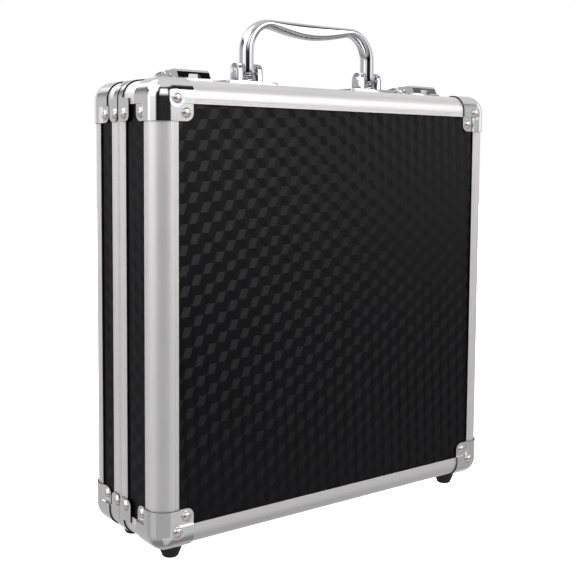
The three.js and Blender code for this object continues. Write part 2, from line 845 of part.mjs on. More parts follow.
// The pull that the lever carries: two flanges under a bent roof that reaches over the catch.
function latchHook() {
  const half = hookWidth / 2;
  const flange = [half - hookFlange, half];
  const armTop = hookPivotHeight + hookArmRadius;
  const armBottom = hookPivotHeight - hookArmRadius;
  const flangeShape = outlineOf([
    [hookPivotY, armBottom],
    [hookFront, armBottom],
    [hookUndersideY, hookLipBottom],
    [hookRear, hookLipBottom],
    [hookRear, hookLipTop],
    [hookShoulderY, hookShoulderTop],
    [hookBendY, hookBendTop],
    [hookFront, hookFrontTop],
    [hookArmEnd, armTop],
    [hookPivotY, armTop],
  ]);
  const roofShape = outlineOf([
    [hookFront, hookFrontTop],
    [hookFront, hookFrontTop - latchSheet],
    [hookBendY, hookBendTop - latchSheet],
    [hookShoulderY - latchSheet, hookShoulderTop - latchSheet],
    [hookRear - latchSheet, hookLipTop],
    [hookRear - latchSheet, hookLipBottom],
    [hookRear, hookLipBottom],
    [hookRear, hookLipTop],
    [hookShoulderY, hookShoulderTop],
    [hookBendY, hookBendTop],
  ]);
  const solids = [sweptAcross(roofShape, -half, half)];
  solids.push(...roundAcrossBoth(hookArmRadius, flange, hookPivotY, hookPivotZ));
  for (const sign of signs) {
    solids.push(sweptAcross(flangeShape, ...mirroredSpan(sign, flange)));
  }
  const boreRadius = hookPinRadius + latchPinClearance;
  const bore = roundAcross(boreRadius, -half - seatGap, half + seatGap, hookPivotY, hookPivotZ);
  return cut(joined(solids), [bore]);
}

function latchCatch() {
  const half = catchWidth / 2;
  const lip = catchLipWidth / 2;
  const plate = seatedPlate(shells.lid, [-half, half], [catchFront, catchRear], latchSheet, latchPlateRadius);
  const keeper = spanBlock(
    [-lip, lip],
    [catchLipY, catchLipY + latchSheet],
    [caseTop + latchSheet / 2, caseTop + catchLipHeight],
  );
  const rivets = signs.map((sign) => {
    const rivetX = sign * (lip - plateRivetRadius);
    const rivetY = catchRear - latchRivetInset;
    return topRivet(rivetX, rivetY, caseTop + latchSheet, plateRivetRadius, plateRivetHeight);
  });
  return joined([plate, keeper, ...rivets]);
}

// Hinge below the parting: alternate knuckles on one pin

const hingeZ = caseBottom - seatGap - hingeKnuckleRadius;

function hingeLeaf(shell, parity) {
  const pitch = hingeLength / hingeKnuckles;
  const half = hingeLength / 2;
  const top = caseBottom - seatGap;
  const far = partingY + shell.facing * hingeLeafWidth;
  const leaf = spanBlock([-half, half], [shell.rimEdge, far], [top - hingeLeafThickness, top]);
  const knuckles = [];
  const reliefs = [];
  for (let i = 0; i < hingeKnuckles; i += 1) {
    const x0 = -half + i * pitch;
    if (i % 2 === parity) {
      const ends = [x0 + hingeKnuckleGap / 2, x0 + pitch - hingeKnuckleGap / 2];
      knuckles.push(roundAcross(hingeKnuckleRadius, ...ends, partingY, hingeZ));
    } else {
      const ends = [x0 - hingeKnuckleGap / 2, x0 + pitch + hingeKnuckleGap / 2];
      const relief = hingeKnuckleRadius + hingeKnuckleClearance;
      reliefs.push(roundAcross(relief, ...ends, partingY, hingeZ, fineRoundSides));
    }
  }
  return joined([cut(leaf, reliefs), ...knuckles]);
}

function baseHingeLeaf() {
  const half = hingeLength / 2;
  const pin = roundAcross(hingePinRadius, -half, half, partingY, hingeZ);
  return hingeLeaf(shells.base, 0).add(pin);
}

function lidHingeLeaf() {
  const half = hingeLength / 2 + overrun;
  const bore = roundAcross(hingePinRadius + hingePinClearance, -half, half, partingY, hingeZ);
  return cut(hingeLeaf(shells.lid, 1), [bore]);
}

// Foam

const foamOuter = boardInner + foamSideGap;
const foamX = caseWidth / 2 - foamOuter;
const foamZ = [caseBottom + foamOuter, caseTop - foamOuter];
const padInset = boardInset + foamSideGap;
const padX = caseWidth / 2 - padInset;
const padZ = [caseBottom + padInset, caseTop - padInset];
const foamFloorTop = frontY + boardInner + seatGap + foamFloorThickness;

function foamFloor() {
  return spanBlock([-padX, padX], [frontY + boardInner + seatGap, foamFloorTop], padZ);
}

function foamLid() {
  const back = rearY - boardInner - seatGap;
  return spanBlock([-padX, padX], [back - foamLidThickness, back], padZ);
}

function foamGrid() {
  const depth = [foamFloorTop + seatGap, foamFloorTop + seatGap + dividerHeight];
  const height = foamZ[1] - foamZ[0];
  const cellWidth = (2 * foamX - (cellsAcross - 1) * dividerThickness) / cellsAcross;
  const cellHeight = (height - (cellsUp - 1) * dividerThickness) / cellsUp;
  const dividers = [];
  for (let i = 1; i < cellsAcross; i += 1) {
    const x0 = -foamX + i * cellWidth + (i - 1) * dividerThickness;
    dividers.push(spanBlock([x0, x0 + dividerThickness], depth, foamZ));
  }
  for (let i = 1; i < cellsUp; i += 1) {
    const z0 = foamZ[0] + i * cellHeight + (i - 1) * dividerThickness;
    dividers.push(spanBlock([-foamX, foamX], depth, [z0, z0 + dividerThickness]));
  }
  return joined(dividers);
}

// Assembly

const model = new THREE.Group();
model.name = 'billiard_accessory_case';

// A group that stands at a place across the case.
function groupAt(x) {
  const group = new THREE.Group();
  group.position.x = x;
  model.add(group);
  return group;
}

function place(group, name, solid, finish) {
  const mesh = new THREE.Mesh(geometryOf(solid), finishes[finish]);
  mesh.name = name;
  group.add(mesh);
}

function placeCorner(group, shell, across, end) {
  const side = { x: across, y: shell.facing, z: end };
  const where = `${endNames[end]}_${sideNames[across]}`;
  place(group, `${shell.name}_corner_${where}`, pressedCorner(side), 'corner');
  if (shell.facing < 0) {
    place(group, `base_corner_profile_${where}`, depthProfile(shell, across, end), 'profile');
    place(group, `base_rim_bracket_${where}`, rimBracket(shell, side, bracketSetback), 'corner');
  } else {
    const setback = end > 0 ? bracketTopLidSetback : bracketSetback;
    place(group, `lid_rim_bracket_${where}`, bracketedProfile(shell, side, setback), 'corner');
  }
}

function placeShell(group, shell) {
  place(group, `${shell.name}_face_panel`, facePanel(shell), 'laminate');
  place(group, `${shell.name}_rim`, rimFrame(shell), 'profile');
  for (const sign of signs) {
    place(group, `${shell.name}_wall_${endNames[sign]}`, endWall(shell, sign), 'laminate');
    place(group, `${shell.name}_wall_${sideNames[sign]}`, sideWall(shell, sign), 'laminate');
    place(group, `${shell.name}_edge_${endNames[sign]}`, faceProfileAcross(shell, sign), 'profile');
    place(group, `${shell.name}_edge_${sideNames[sign]}`, faceProfileUp(shell, sign), 'profile');
    const corner = { x: sign, y: shell.facing, z: -1 };
    place(group, `${shell.name}_foot_${sideNames[sign]}`, foot(corner), 'rubber');
  }
  for (const end of signs) {
    for (const across of signs) {
      placeCorner(group, shell, across, end);
    }
  }
}

const baseGroup = groupAt(0);
placeShell(baseGroup, shells.base);
place(baseGroup, 'hinge_leaf_base', baseHingeLeaf(), 'profile');
place(baseGroup, 'base_foam_floor', foamFloor(), 'foam');
place(baseGroup, 'base_foam_grid', foamGrid(), 'foam');

const lidGroup = groupAt(0);
placeShell(lidGroup, shells.lid);
place(lidGroup, 'hinge_leaf_lid', lidHingeLeaf(), 'profile');
place(lidGroup, 'lid_foam_pad', foamLid(), 'foam');

place(groupAt(0), 'handle', handle(), 'chrome');
for (const sign of signs) {
  const where = sideNames[sign];
  place(groupAt(sign * handleOffset), `handle_bracket_${where}`, handleBracket(), 'chrome');
  const latchGroup = groupAt(sign * latchOffset);
  place(latchGroup, `latch_plate_${where}`, latchPlate(), 'chrome');
  place(latchGroup, `latch_lever_${where}`, latchLever(), 'chrome');
  place(latchGroup, `latch_hook_${where}`, latchHook(), 'chrome');
  place(latchGroup, `latch_catch_${where}`, latchCatch(), 'chrome');
}

export default model;
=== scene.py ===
"""Ball carrying case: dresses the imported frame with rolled, pressed, plated and padded pieces."""

from __future__ import annotations

import logging
import math
from dataclasses import dataclass, field
from enum import Enum
from functools import cache
from typing import Any, Iterable, Sequence

import bmesh
import bpy
import numpy as np
from mathutils import Matrix, Vector

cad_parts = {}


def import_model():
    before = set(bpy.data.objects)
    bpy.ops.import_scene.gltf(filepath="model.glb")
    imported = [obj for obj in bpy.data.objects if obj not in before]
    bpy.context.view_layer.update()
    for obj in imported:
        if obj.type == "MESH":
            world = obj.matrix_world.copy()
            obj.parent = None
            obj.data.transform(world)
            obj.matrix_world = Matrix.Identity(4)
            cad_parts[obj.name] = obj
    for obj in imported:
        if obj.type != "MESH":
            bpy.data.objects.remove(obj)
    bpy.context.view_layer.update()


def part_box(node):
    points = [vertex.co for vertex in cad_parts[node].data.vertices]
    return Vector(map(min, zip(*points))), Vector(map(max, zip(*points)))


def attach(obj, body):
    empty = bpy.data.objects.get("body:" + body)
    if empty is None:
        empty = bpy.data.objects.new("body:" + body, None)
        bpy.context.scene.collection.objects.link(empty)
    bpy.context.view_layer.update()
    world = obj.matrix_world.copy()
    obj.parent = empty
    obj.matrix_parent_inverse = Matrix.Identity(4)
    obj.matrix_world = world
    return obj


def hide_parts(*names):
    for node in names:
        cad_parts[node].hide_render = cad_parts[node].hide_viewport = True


LOG = logging.getLogger("ball_case")
MM = 0.001
MERGE = 0.002

Triple = tuple[float, float, float]
Pair = tuple[float, float]
Colour = tuple[float, float, float, float]
Socket = bpy.types.NodeSocket


class Body(Enum):
    """The moving bodies of the case."""

    BASE = "base"
    LID = "lid"
    HANDLE = "handle"
    LEVER_LEFT = "latch_lever_left"
    LEVER_RIGHT = "latch_lever_right"
    HOOK_LEFT = "latch_hook_left"
    HOOK_RIGHT = "latch_hook_right"


class Axis(Enum):
    """A main direction of the case."""

    X = 0
    Y = 1
    Z = 2


@dataclass(frozen=True)
class Side:
    """One corner of the case: the signs of its x, y and z."""

    x: int
    y: int
    z: int

    @property
    def body(self) -> Body:
        """The shell that the corner belongs to."""
        return Body.BASE if self.y < 0 else Body.LID

    @property
    def where(self) -> str:
        """The corner's place in words, as the frame's names have it."""
        return f"{'top' if self.z > 0 else 'bottom'}_{'right' if self.x > 0 else 'left'}"


@dataclass(frozen=True)
class CaseSizes:
    """Main sizes of the case, in millimetres."""

    width: float = 310.0
    depth: float = 96.0
    height: float = 315.0
    bottom: float = 11.0
    parting: float = 4.0
    parting_gap: float = 0.15
    radius: float = 12.5
    cover: float = 16.5
    flange: float = 1.5
    board_inset: float = 9.5
    board: float = 4.0
    rim: float = 10.0
    sheet: float = 1.0
    seat: float = 0.05

    @property
    def top(self) -> float:
        """Height of the case's top face."""
        return self.bottom + self.height

    @property
    def middle(self) -> float:
        """Height of the middle of the case."""
        return self.bottom + self.height / 2

    @property
    def under(self) -> float:
        """Depth of a flange's underside below the outer planes."""
        return self.flange - self.seat

    @property
    def raised(self) -> float:
        """How far the pressed sheet stands outside the outer planes."""
        return self.sheet + self.seat

    def shell_depth(self, body: Body) -> float:
        """Distance from a shell's face to the parting."""
        front = self.depth / 2 + self.parting
        return front if body is Body.BASE else self.depth - front

    def place(self, side: Side, u: float, v: float, w: float) -> Triple:
        """Turns distances inward from a corner's side, face and top or bottom plane into a place."""
        return (
            side.x * (self.width / 2 - u),
            side.y * (self.depth / 2 - v),
            self.middle + side.z * (self.height / 2 - w),
        )


CASE = CaseSizes()
CORNERS = [Side(x, y, z) for y in (-1, 1) for z in (1, -1) for x in (-1, 1)]
SHELLS = ((-1, Body.BASE), (1, Body.LID))


def smooth_step(value: float) -> float:
    """A soft step from 0 to 1 over the unit range."""
    held = min(1.0, max(0.0, value))
    return held * held * (3 - 2 * held)


# Materials


class NodeTree:
    """Short ways to add and link the nodes of one tree."""

    def __init__(self, tree: bpy.types.NodeTree) -> None:
        """Keeps the tree."""
        self.tree = tree

    def fill(self, node: bpy.types.Node, inputs: dict[str, Any]) -> bpy.types.Node:
        """Sets or links inputs of a node.

        Args:
            node: the node.
            inputs: values or sockets, by name with _ for a space, or by place as i0, i1 and so on.

        Returns:
            The node.
        """
        for name, value in inputs.items():
            key: Any = int(name[1:]) if name[1:].isdigit() else name.replace("_", " ")
            if isinstance(value, Socket):
                self.tree.links.new(value, node.inputs[key])
            else:
                node.inputs[key].default_value = value
        return node

    def add(self, kind: str, settings: dict[str, Any] | None = None, **inputs: Any) -> bpy.types.Node:
        """Adds a node.

        Args:
            kind: the node's type name.
            settings: its properties.
            **inputs: its inputs, as fill takes them.

        Returns:
            The new node.
        """
        node = self.tree.nodes.new(kind)
        for name, value in (settings or {}).items():
            setattr(node, name, value)
        return self.fill(node, inputs)

    def math(self, operation: str, a: Any, b: Any = 0.0, c: Any = 0.0) -> Socket:
        """One step of arithmetic on up to three numbers."""
        return self.add("ShaderNodeMath", {"operation": operation}, i0=a, i1=b, i2=c).outputs[0]

    def vector(self, operation: str, **inputs: Any) -> Socket:
        """One step of arithmetic on vectors."""
        outputs = self.add("ShaderNodeVectorMath", {"operation": operation}, **inputs).outputs
        return outputs["Value" if operation == "DOT_PRODUCT" else "Vector"]

    def mix(self, factor: Any, a: Any, b: Any) -> Socket:
        """A blend of two colours by the share of the second."""
        return self.add("ShaderNodeMix", {"data_type": "RGBA"}, i0=factor, i6=a, i7=b).outputs[2]

    def blend(self, factor: Any, a: Any, b: Any) -> Socket:
        """A blend of two numbers by the share of the second."""
        return self.add("ShaderNodeMix", {"data_type": "FLOAT"}, i0=factor, i2=a, i3=b).outputs[0]

    def object_place(self) -> Socket:
        """The place on the object, in metres."""
        return self.add("ShaderNodeTexCoord").outputs["Object"]

    def noise(
        self, place: Any, scale: float, detail: float = 3.0, stretch: Triple = (1.0, 1.0, 1.0)
    ) -> Socket:
        """Noise over the object, packed more or less tightly along x, y and z."""
        mapped = self.add("ShaderNodeMapping", None, Vector=place, Scale=stretch).outputs[0]
        return self.add("ShaderNodeTexNoise", None, Vector=mapped, Scale=scale, Detail=detail).outputs[0]

    def bump(self, height: Any, strength: float, distance: float, **normal: Any) -> Socket:
        """A normal with relief, over the surface's own or a given Normal."""
        sizes = {"Strength": strength, "Distance": distance}
        return self.add("ShaderNodeBump", None, Height=height, **sizes, **normal).outputs[0]

    def paint(self, **inputs: Any) -> None:
        """Sets the inputs of the material's surface shader."""
        self.fill(self.tree.nodes["Principled BSDF"], inputs)


def colour(*levels: float) -> Colour:
    """Red, green and blue of the display, 0 to 255, as linear light with full cover."""
    shares = [level / 255 for level in levels]
    return (*(s / 12.92 if s <= 0.04045 else ((s + 0.055) / 1.055) ** 2.4 for s in shares), 1.0)


@dataclass(frozen=True)
class Finish:
    """A finish; each kind dresses its own material."""

    label: str

    def dress(self, nodes: NodeTree) -> None:
        """Fills the material's tree.

        Args:
            nodes: the tree.
        """
        raise NotImplementedError


@cache
def material_of(finish: Finish) -> bpy.types.Material:
    """Makes the material of a finish at its first use, and shares it after that.

    Args:
        finish: the finish.

    Returns:
        Its material.
    """
    made = bpy.data.materials.new(finish.label)
    made.use_nodes = True
    finish.dress(NodeTree(made.node_tree))
    return made


class Facing(Enum):
    """Where a board looks, with its rightward and upward directions as seen from outside."""

    FRONT = ((1.0, 0.0, 0.0), (0.0, 0.0, 1.0))
    BACK = ((-1.0, 0.0, 0.0), (0.0, 0.0, 1.0))
    LEFT = ((0.0, -1.0, 0.0), (0.0, 0.0, 1.0))
    RIGHT = ((0.0, 1.0, 0.0), (0.0, 0.0, 1.0))
    TOP = ((1.0, 0.0, 0.0), (0.0, 1.0, 0.0))
    BOTTOM = ((1.0, 0.0, 0.0), (0.0, -1.0, 0.0))


@dataclass(frozen=True)
class FilmSizes:
    """The embossed film: leaning light and dark leaves with lozenges between them, in metres."""

    period: float = 0.01854
    row: float = 0.00688
    leaf: float = 0.0059
    gap: float = 0.0006
    tone: Colour = (0.0045, 0.0037, 0.0048, 1.0)
    light_tone: Colour = (0.0059, 0.0049, 0.0063, 1.0)
    cloud_scale: float = 14.0
    roughness: float = 0.26
    unevenness: float = 0.06
    specular: float = 0.14
    grain_scale: float = 2200.0
    grain_strength: float = 0.3
    grain_depth: float = 0.00002

    @property
    def lean(self) -> float:
        """How far a leaf leans over one row."""
        return self.period / 2 - self.leaf - self.gap


@dataclass(frozen=True)
class FilmLay:
    """How the film lies on a board: its turn in degrees, its shifts in metres, the slopes of its facets."""

    turn: float
    across: float
    up: float
    light: Pair = (0.08, 0.0)
    middle: Pair = (0.1, 0.1)
    dark: Pair = (0.18, 0.0)


FACE_LAY = FilmLay(2.67, 0.0174, 0.00447, (0.04, 0.2), (-0.16, 0.08), (0.12, 0.04))
WALL_LAYS = {Body.BASE: FilmLay(2.0, 0.018, 0.0027), Body.LID: FilmLay(1.5, 0.0162, 0.0135)}


@dataclass(frozen=True)
class Laminate(Finish):
    """Black laminate with an embossed film of small facets, each with its own slope."""

    facing: Facing
    lay: FilmLay
    sizes: FilmSizes = FilmSizes()

    def dress(self, nodes: NodeTree) -> None:
        """Works out which facet a point lies on, then its slope and tone.

        Args:
            nodes: the material's tree.
        """
        size, lay = self.sizes, self.lay
        right, upward = (Vector(direction) for direction in self.facing.value)
        turn = math.radians(lay.turn)
        place = nodes.object_place()
        along = nodes.vector("DOT_PRODUCT", i0=place, i1=math.cos(turn) * right + math.sin(turn) * upward)
        rising = nodes.vector("DOT_PRODUCT", i0=place, i1=math.cos(turn) * upward - math.sin(turn) * right)
        across = nodes.math("ADD", along, lay.across)
        rows = nodes.math("DIVIDE", nodes.math("ADD", rising, lay.up), size.row)
        parity = nodes.math("FLOORED_MODULO", nodes.math("FLOOR", rows), 2.0)
        shifted = nodes.math("MULTIPLY_ADD", parity, size.period / 2, across)
        lean = nodes.math("MULTIPLY", nodes.math("FRACT", rows), size.lean)
        light_start = nodes.math("SUBTRACT", nodes.math("SUBTRACT", shifted, lean), size.gap / 2)
        dark_start = nodes.math("ADD", nodes.math("ADD", shifted, lean), size.leaf + size.gap / 2)
        in_light, in_dark = (self.on_leaf(nodes, start) for start in (light_start, dark_start))
        slopes = [
            nodes.blend(in_dark, nodes.blend(in_light, middle, light), dark)
            for light, middle, dark in zip(lay.light, lay.middle, lay.dark)
        ]
        grain = nodes.noise(place, size.grain_scale, 2.0)
        cloud = nodes.noise(place, size.cloud_scale, 2.0)
        smoothest = size.roughness - size.unevenness / 2
        tilted = self.tilted(nodes, slopes)
        nodes.paint(
            Base_Color=nodes.mix(cloud, size.tone, size.light_tone),
            Roughness=nodes.math("MULTIPLY_ADD", grain, size.unevenness, smoothest),
            Specular_IOR_Level=size.specular,
            Normal=nodes.bump(grain, size.grain_strength, size.grain_depth, Normal=tilted),
        )

    def on_leaf(self, nodes: NodeTree, start: Any) -> Socket:
        """1 on a leaf of the film, else 0, by the distance from the leaf's left edge."""
        local = nodes.math("FLOORED_MODULO", start, self.sizes.period)
        return nodes.math("LESS_THAN", local, self.sizes.leaf)

    def tilted(self, nodes: NodeTree, slopes: Sequence[Any]) -> Socket:
        """Leans the surface's normal over the board.

        Args:
            nodes: the material's tree.
            slopes: the slopes rightwards and upwards.

        Returns:
            The normal's socket.
        """
        parts = [
            nodes.vector("SCALE", i0=direction, Scale=slope)
            for direction, slope in zip(self.facing.value, slopes)
        ]
        lean = nodes.vector("ADD", i0=parts[0], i1=parts[1])
        ways = {"vector_type": "VECTOR", "convert_from": "OBJECT", "convert_to": "WORLD"}
        turned = nodes.add("ShaderNodeVectorTransform", ways, Vector=lean).outputs[0]
        normal = nodes.add("ShaderNodeNewGeometry").outputs["Normal"]
        return nodes.vector("NORMALIZE", i0=nodes.vector("ADD", i0=normal, i1=turned))


@dataclass(frozen=True)
class Metal(Finish):
    """Bare or plated metal with fine drawn lines, packed along x, y and z by its grain, and uneven gloss."""

    tone: Colour
    roughness: float
    line_depth: float
    unevenness: float = 0.08
    grain: Triple = (1.0, 1.0, 1.0)
    line_scale: float = 900.0
    line_strength: float = 0.35
    line_cover: float = 0.5
    line_shade: float = 0.86
    cloud_scale: float = 38.0

    def dress(self, nodes: NodeTree) -> None:
        """Sets the colour, the drawn lines and the gloss.

        Args:
            nodes: the material's tree.
        """
        place = nodes.object_place()
        lines = nodes.noise(place, self.line_scale, 2.0, self.grain)
        cloud = nodes.noise(place, self.cloud_scale)
        darker = (*(self.line_shade * value for value in self.tone[:3]), 1.0)
        smoothest = self.roughness - self.unevenness / 2
        rough = nodes.math("MULTIPLY_ADD", lines, self.unevenness, smoothest)
        nodes.paint(
            Base_Color=nodes.mix(nodes.math("MULTIPLY", lines, self.line_cover), self.tone, darker),
            Metallic=1.0,
            Roughness=nodes.math("MULTIPLY_ADD", cloud, self.unevenness, rough),
            Normal=nodes.bump(lines, self.line_strength, self.line_depth),
        )


@dataclass(frozen=True)
class Rubber(Finish):
    """Matt black rubber with a fine moulded grain and a little dust."""

    label: str = "rubber"
    tone: Colour = colour(14, 14, 15)
    dust_tone: Colour = colour(30, 30, 31)
    dust_scale: float = 120.0
    grain_scale: float = 1800.0
    grain_strength: float = 0.4
    grain_depth: float = 0.0001
    roughness: float = 0.55
    unevenness: float = 0.2

    def dress(self, nodes: NodeTree) -> None:
        """Sets the colour and the grain.

        Args:
            nodes: the material's tree.
        """
        place = nodes.object_place()
        grain = nodes.noise(place, self.grain_scale)
        nodes.paint(
            Base_Color=nodes.mix(nodes.noise(place, self.dust_scale), self.tone, self.dust_tone),
            Roughness=nodes.math("MULTIPLY_ADD", grain, self.unevenness, self.roughness),
            Normal=nodes.bump(grain, self.grain_strength, self.grain_depth),
        )


@dataclass(frozen=True)
class Foam(Finish):
    """Dark grey open foam: fine pores with painted shade in their pits, and a soft sheen."""

    label: str = "foam"
    pit_shade_tone: Colour = colour(24, 24, 26)
    skin_tone: Colour = colour(62, 62, 66)
    cloud_tone: Colour = colour(40, 40, 43)
    cloud_cover: float = 0.4
    cloud_scale: float = 60.0
    pore_scale: float = 900.0
    pore_strength: float = 0.6
    pore_depth: float = 0.0004
    roughness: float = 0.95
    sheen: float = 0.25

    def dress(self, nodes: NodeTree) -> None:
        """Sets the pores, their pits darkened as painted shade, the tone and the sheen.

        Args:
            nodes: the material's tree.
        """
        place = nodes.object_place()
        cells = nodes.add("ShaderNodeTexVoronoi", None, Vector=place, Scale=self.pore_scale)
        pores = cells.outputs["Distance"]
        cloud = nodes.math("MULTIPLY", nodes.noise(place, self.cloud_scale, 4.0), self.cloud_cover)
        # The pits of the pores take the darker tone: painted shade.
        nodes.paint(
            Base_Color=nodes.mix(cloud, nodes.mix(pores, self.pit_shade_tone, self.skin_tone), self.cloud_tone),
            Roughness=self.roughness,
            Sheen_Weight=self.sheen,
            Normal=nodes.bump(pores, self.pore_strength, self.pore_depth),
        )


@dataclass(frozen=True)
class FloorPaint(Finish):
    """The plain pale floor."""

    label: str = "floor"
    tone: Colour = (0.98, 0.98, 0.98, 1.0)
    light_tone: Colour = (1.0, 1.0, 1.0, 1.0)
    cloud_scale: float = 3.0
    glow: float = 0.95
    roughness: float = 0.9

    def dress(self, nodes: NodeTree) -> None:
        """Sets a near white with hardly any texture.

        Args:
            nodes: the material's tree.
        """
        cloud = nodes.noise(nodes.object_place(), self.cloud_scale, 2.0)
        tone = nodes.mix(cloud, self.tone, self.light_tone)
        looks = {"Emission_Strength": self.glow, "Roughness": self.roughness, "Specular_IOR_Level": 0.0}
        nodes.paint(Base_Color=tone, Emission_Color=tone, **looks)


ALUMINIUM = (0.9, 0.885, 0.885, 1.0)
PROFILE_ALONG = {
    axis: Metal(
        f"profile_along_{axis.name.lower()}",
        ALUMINIUM,
        roughness=0.45,
        line_depth=4e-5,
        grain=tuple(0.02 if other is axis else 1.0 for other in Axis),
    )
    for axis in Axis
}
NICKEL = Metal("nickel_sheet", (0.82, 0.81, 0.815, 1.0), 0.1, 4e-6, 0.05, (0.5, 1.0, 0.6))
RIVET_NICKEL = Metal("rivet_nickel", (0.8, 0.77, 0.75, 1.0), 0.22, 3e-6, 0.04)
CHROME = Metal("chrome", (0.68, 0.68, 0.695, 1.0), 0.05, 3e-7, 0.03)
LATCH_CHROME = Metal("latch_chrome", (0.66, 0.66, 0.67, 1.0), 0.06, 5e-7, 0.04, (1.0, 0.3, 1.0))
# Near black on the sheets' cut edges: painted shade, standing in for the shadow lines along the edges.
PAINTED_SHADE_EDGE = Metal("cut_edge", (0.035, 0.034, 0.036, 1.0), 0.5, 3e-6)
RUBBER = Rubber()
FOAM = Foam()


# Meshes


@dataclass
class Plan:
    """Points and faces of a piece, in millimetres."""

    points: list[Triple] = field(default_factory=list)
    faces: list[tuple[int, ...]] = field(default_factory=list)

    def add(self, points: Iterable[Triple], faces: Iterable[Sequence[int]]) -> Plan:
        """Adds points and the faces that join them.

        Args:
            points: the new points.
            faces: faces that count from the first of these points.

        Returns:
            The plan itself.
        """
        start = len(self.points)
        self.points.extend(tuple(float(value) for value in point) for point in points)
        self.faces.extend(tuple(start + index for index in face) for face in faces)
        return self

    def add_grid(self, rows: Sequence[Sequence[Triple]], closed: bool = False) -> Plan:
        """Adds a grid of points.

        Args:
            rows: rows of equal length.
            closed: whether each row joins up with its own start.

        Returns:
            The plan itself.
        """
        width = len(rows[0])
        faces = []
        for i in range(len(rows) - 1):
            for j in range(width if closed else width - 1):
                after = (j + 1) % width
                faces.append((i * width + j, i * width + after, (i + 1) * width + after, (i + 1) * width + j))
        return self.add([point for row in rows for point in row], faces)

    def add_loft(self, rings: Sequence[Sequence[Triple]], looped: bool = False) -> Plan:
        """Adds a closed skin over a row of rings.

        Args:
            rings: rings with the same number of points.
            looped: whether the last ring joins the first; if not, a face closes each end.

        Returns:
            The plan itself.
        """
        start, width = len(self.points), len(rings[0])
        self.add_grid([*rings, rings[0]] if looped else rings, closed=True)
        if not looped:
            last = start + (len(rings) - 1) * width
            self.faces.append(tuple(start + j for j in range(width)))
            self.faces.append(tuple(last + j for j in reversed(range(width))))
        return self


@dataclass(frozen=True)
class Touch:
    """How the edges of a finished mesh are softened, in millimetres and degrees."""

    bevel: float = 0.0
    segments: int = 2
    bevel_over: float = 32.0
    thickness: float = 0.0
    sharp: float = 35.0
    merge: float = MERGE
    inside: Triple | None = None


def linked(name: str, data: bpy.types.ID) -> bpy.types.Object:
    """Adds an object to the scene.

    Args:
        name: its name.
        data: its mesh or camera.

    Returns:
        The object.
    """
    made = bpy.data.objects.new(name, data)
    bpy.context.scene.collection.objects.link(made)
    return made


def plain_mesh(holder: bpy.types.Object) -> bpy.types.Mesh:
    """Turns what a holder's modifiers make into a plain mesh, and takes the holder away.

    Args:
        holder: the object with the modifiers.

    Returns:
        The mesh.
    """
    graph = bpy.context.evaluated_depsgraph_get()
    made = bpy.data.meshes.new_from_object(holder.evaluated_get(graph))
    bpy.data.objects.remove(holder)
    return made


def turn_away(sheet: bmesh.types.BMesh, inside: Vector) -> None:
    """Turns the faces of an open sheet away from a point that it goes round.

    Args:
        sheet: the sheet, with faces that agree with each other.
        inside: the point.
    """
    outward = 0.0
    for face in sheet.faces:
        outward += face.normal.dot(face.calc_center_median() - inside) * face.calc_area()
    if outward < 0:
        bmesh.ops.reverse_faces(sheet, faces=sheet.faces)


def finished_mesh(source: bpy.types.Mesh, touch: Touch) -> bpy.types.Mesh:
    """Merges, thickens, softens and shades a mesh.

    Args:
        source: the rough mesh, in metres.
        touch: what is done to it.

    Returns:
        A plain mesh.
    """
    cleaner = bmesh.new()
    cleaner.from_mesh(source)
    bmesh.ops.remove_doubles(cleaner, verts=cleaner.verts, dist=touch.merge * MM)
    bmesh.ops.recalc_face_normals(cleaner, faces=cleaner.faces)
    if touch.inside is not None:
        turn_away(cleaner, Vector(touch.inside) * MM)
    cleaner.to_mesh(source)
    cleaner.free()
    holder = linked("holder", source)
    if touch.thickness:
        wall = holder.modifiers.new("wall", "SOLIDIFY")
        wall.thickness = touch.thickness * MM
        wall.offset = -1
        wall.use_even_offset = True
        # The rim faces take the second material: on the sheets, the near-black painted shade of the cut
        # edges.
        wall.material_offset_rim = 1
    if touch.bevel:
        bevel = holder.modifiers.new("soft_edges", "BEVEL")
        bevel.width = touch.bevel * MM
        bevel.segments = touch.segments
        bevel.limit_method = "ANGLE"
        bevel.angle_limit = math.radians(touch.bevel_over)
        bevel.use_clamp_overlap = True
    made = plain_mesh(holder)
    made.polygons.foreach_set("use_smooth", [True] * len(made.polygons))
    made.set_sharp_from_angle(angle=math.radians(touch.sharp))
    return made


def make_piece(
    name: str,
    plan: Plan | bpy.types.Mesh,
    finish: Finish,
    body: Body,
    touch: Touch = Touch(),
    stands_for: Sequence[str] = (),
    edge: Finish | None = None,
) -> bpy.types.Object:
    """Makes one finished piece that rides on its body.

    Args:
        name: the piece's name.
        plan: its points and faces, or a mesh in metres.
        finish: its material.
        body: the body that carries it.
        touch: how its edges are softened.
        stands_for: frame nodes that it takes the place of.
        edge: the material of a sheet's cut edges, where it differs.

    Returns:
        The new object.
    """
    rough = plan
    if isinstance(plan, Plan):
        rough = bpy.data.meshes.new(name)
        rough.from_pydata([tuple(value * MM for value in point) for point in plan.points], [], plan.faces)
        rough.update()
    rough.materials.clear()
    rough.materials.append(material_of(finish))
    if edge is not None:
        rough.materials.append(material_of(edge))
    mesh = finished_mesh(rough, touch)
    mesh.name = name
    piece = linked(name, mesh)
    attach(piece, body.value)
    if stands_for:
        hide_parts(*stands_for)
    LOG.info("%s: %d faces on %s", name, len(mesh.polygons), body.value)
    return piece


def make_sheet(node: str, plan: Plan, body: Body, inside: Triple) -> None:
    """Makes a pressed sheet in the place of its frame node, with its cut edges near black as painted shade
    lines.
    """
    touch = Touch(thickness=CASE.sheet, sharp=40, merge=0.01, inside=inside)
    make_piece(f"{node}_sheet", plan, NICKEL, body, touch, [node], PAINTED_SHADE_EDGE)


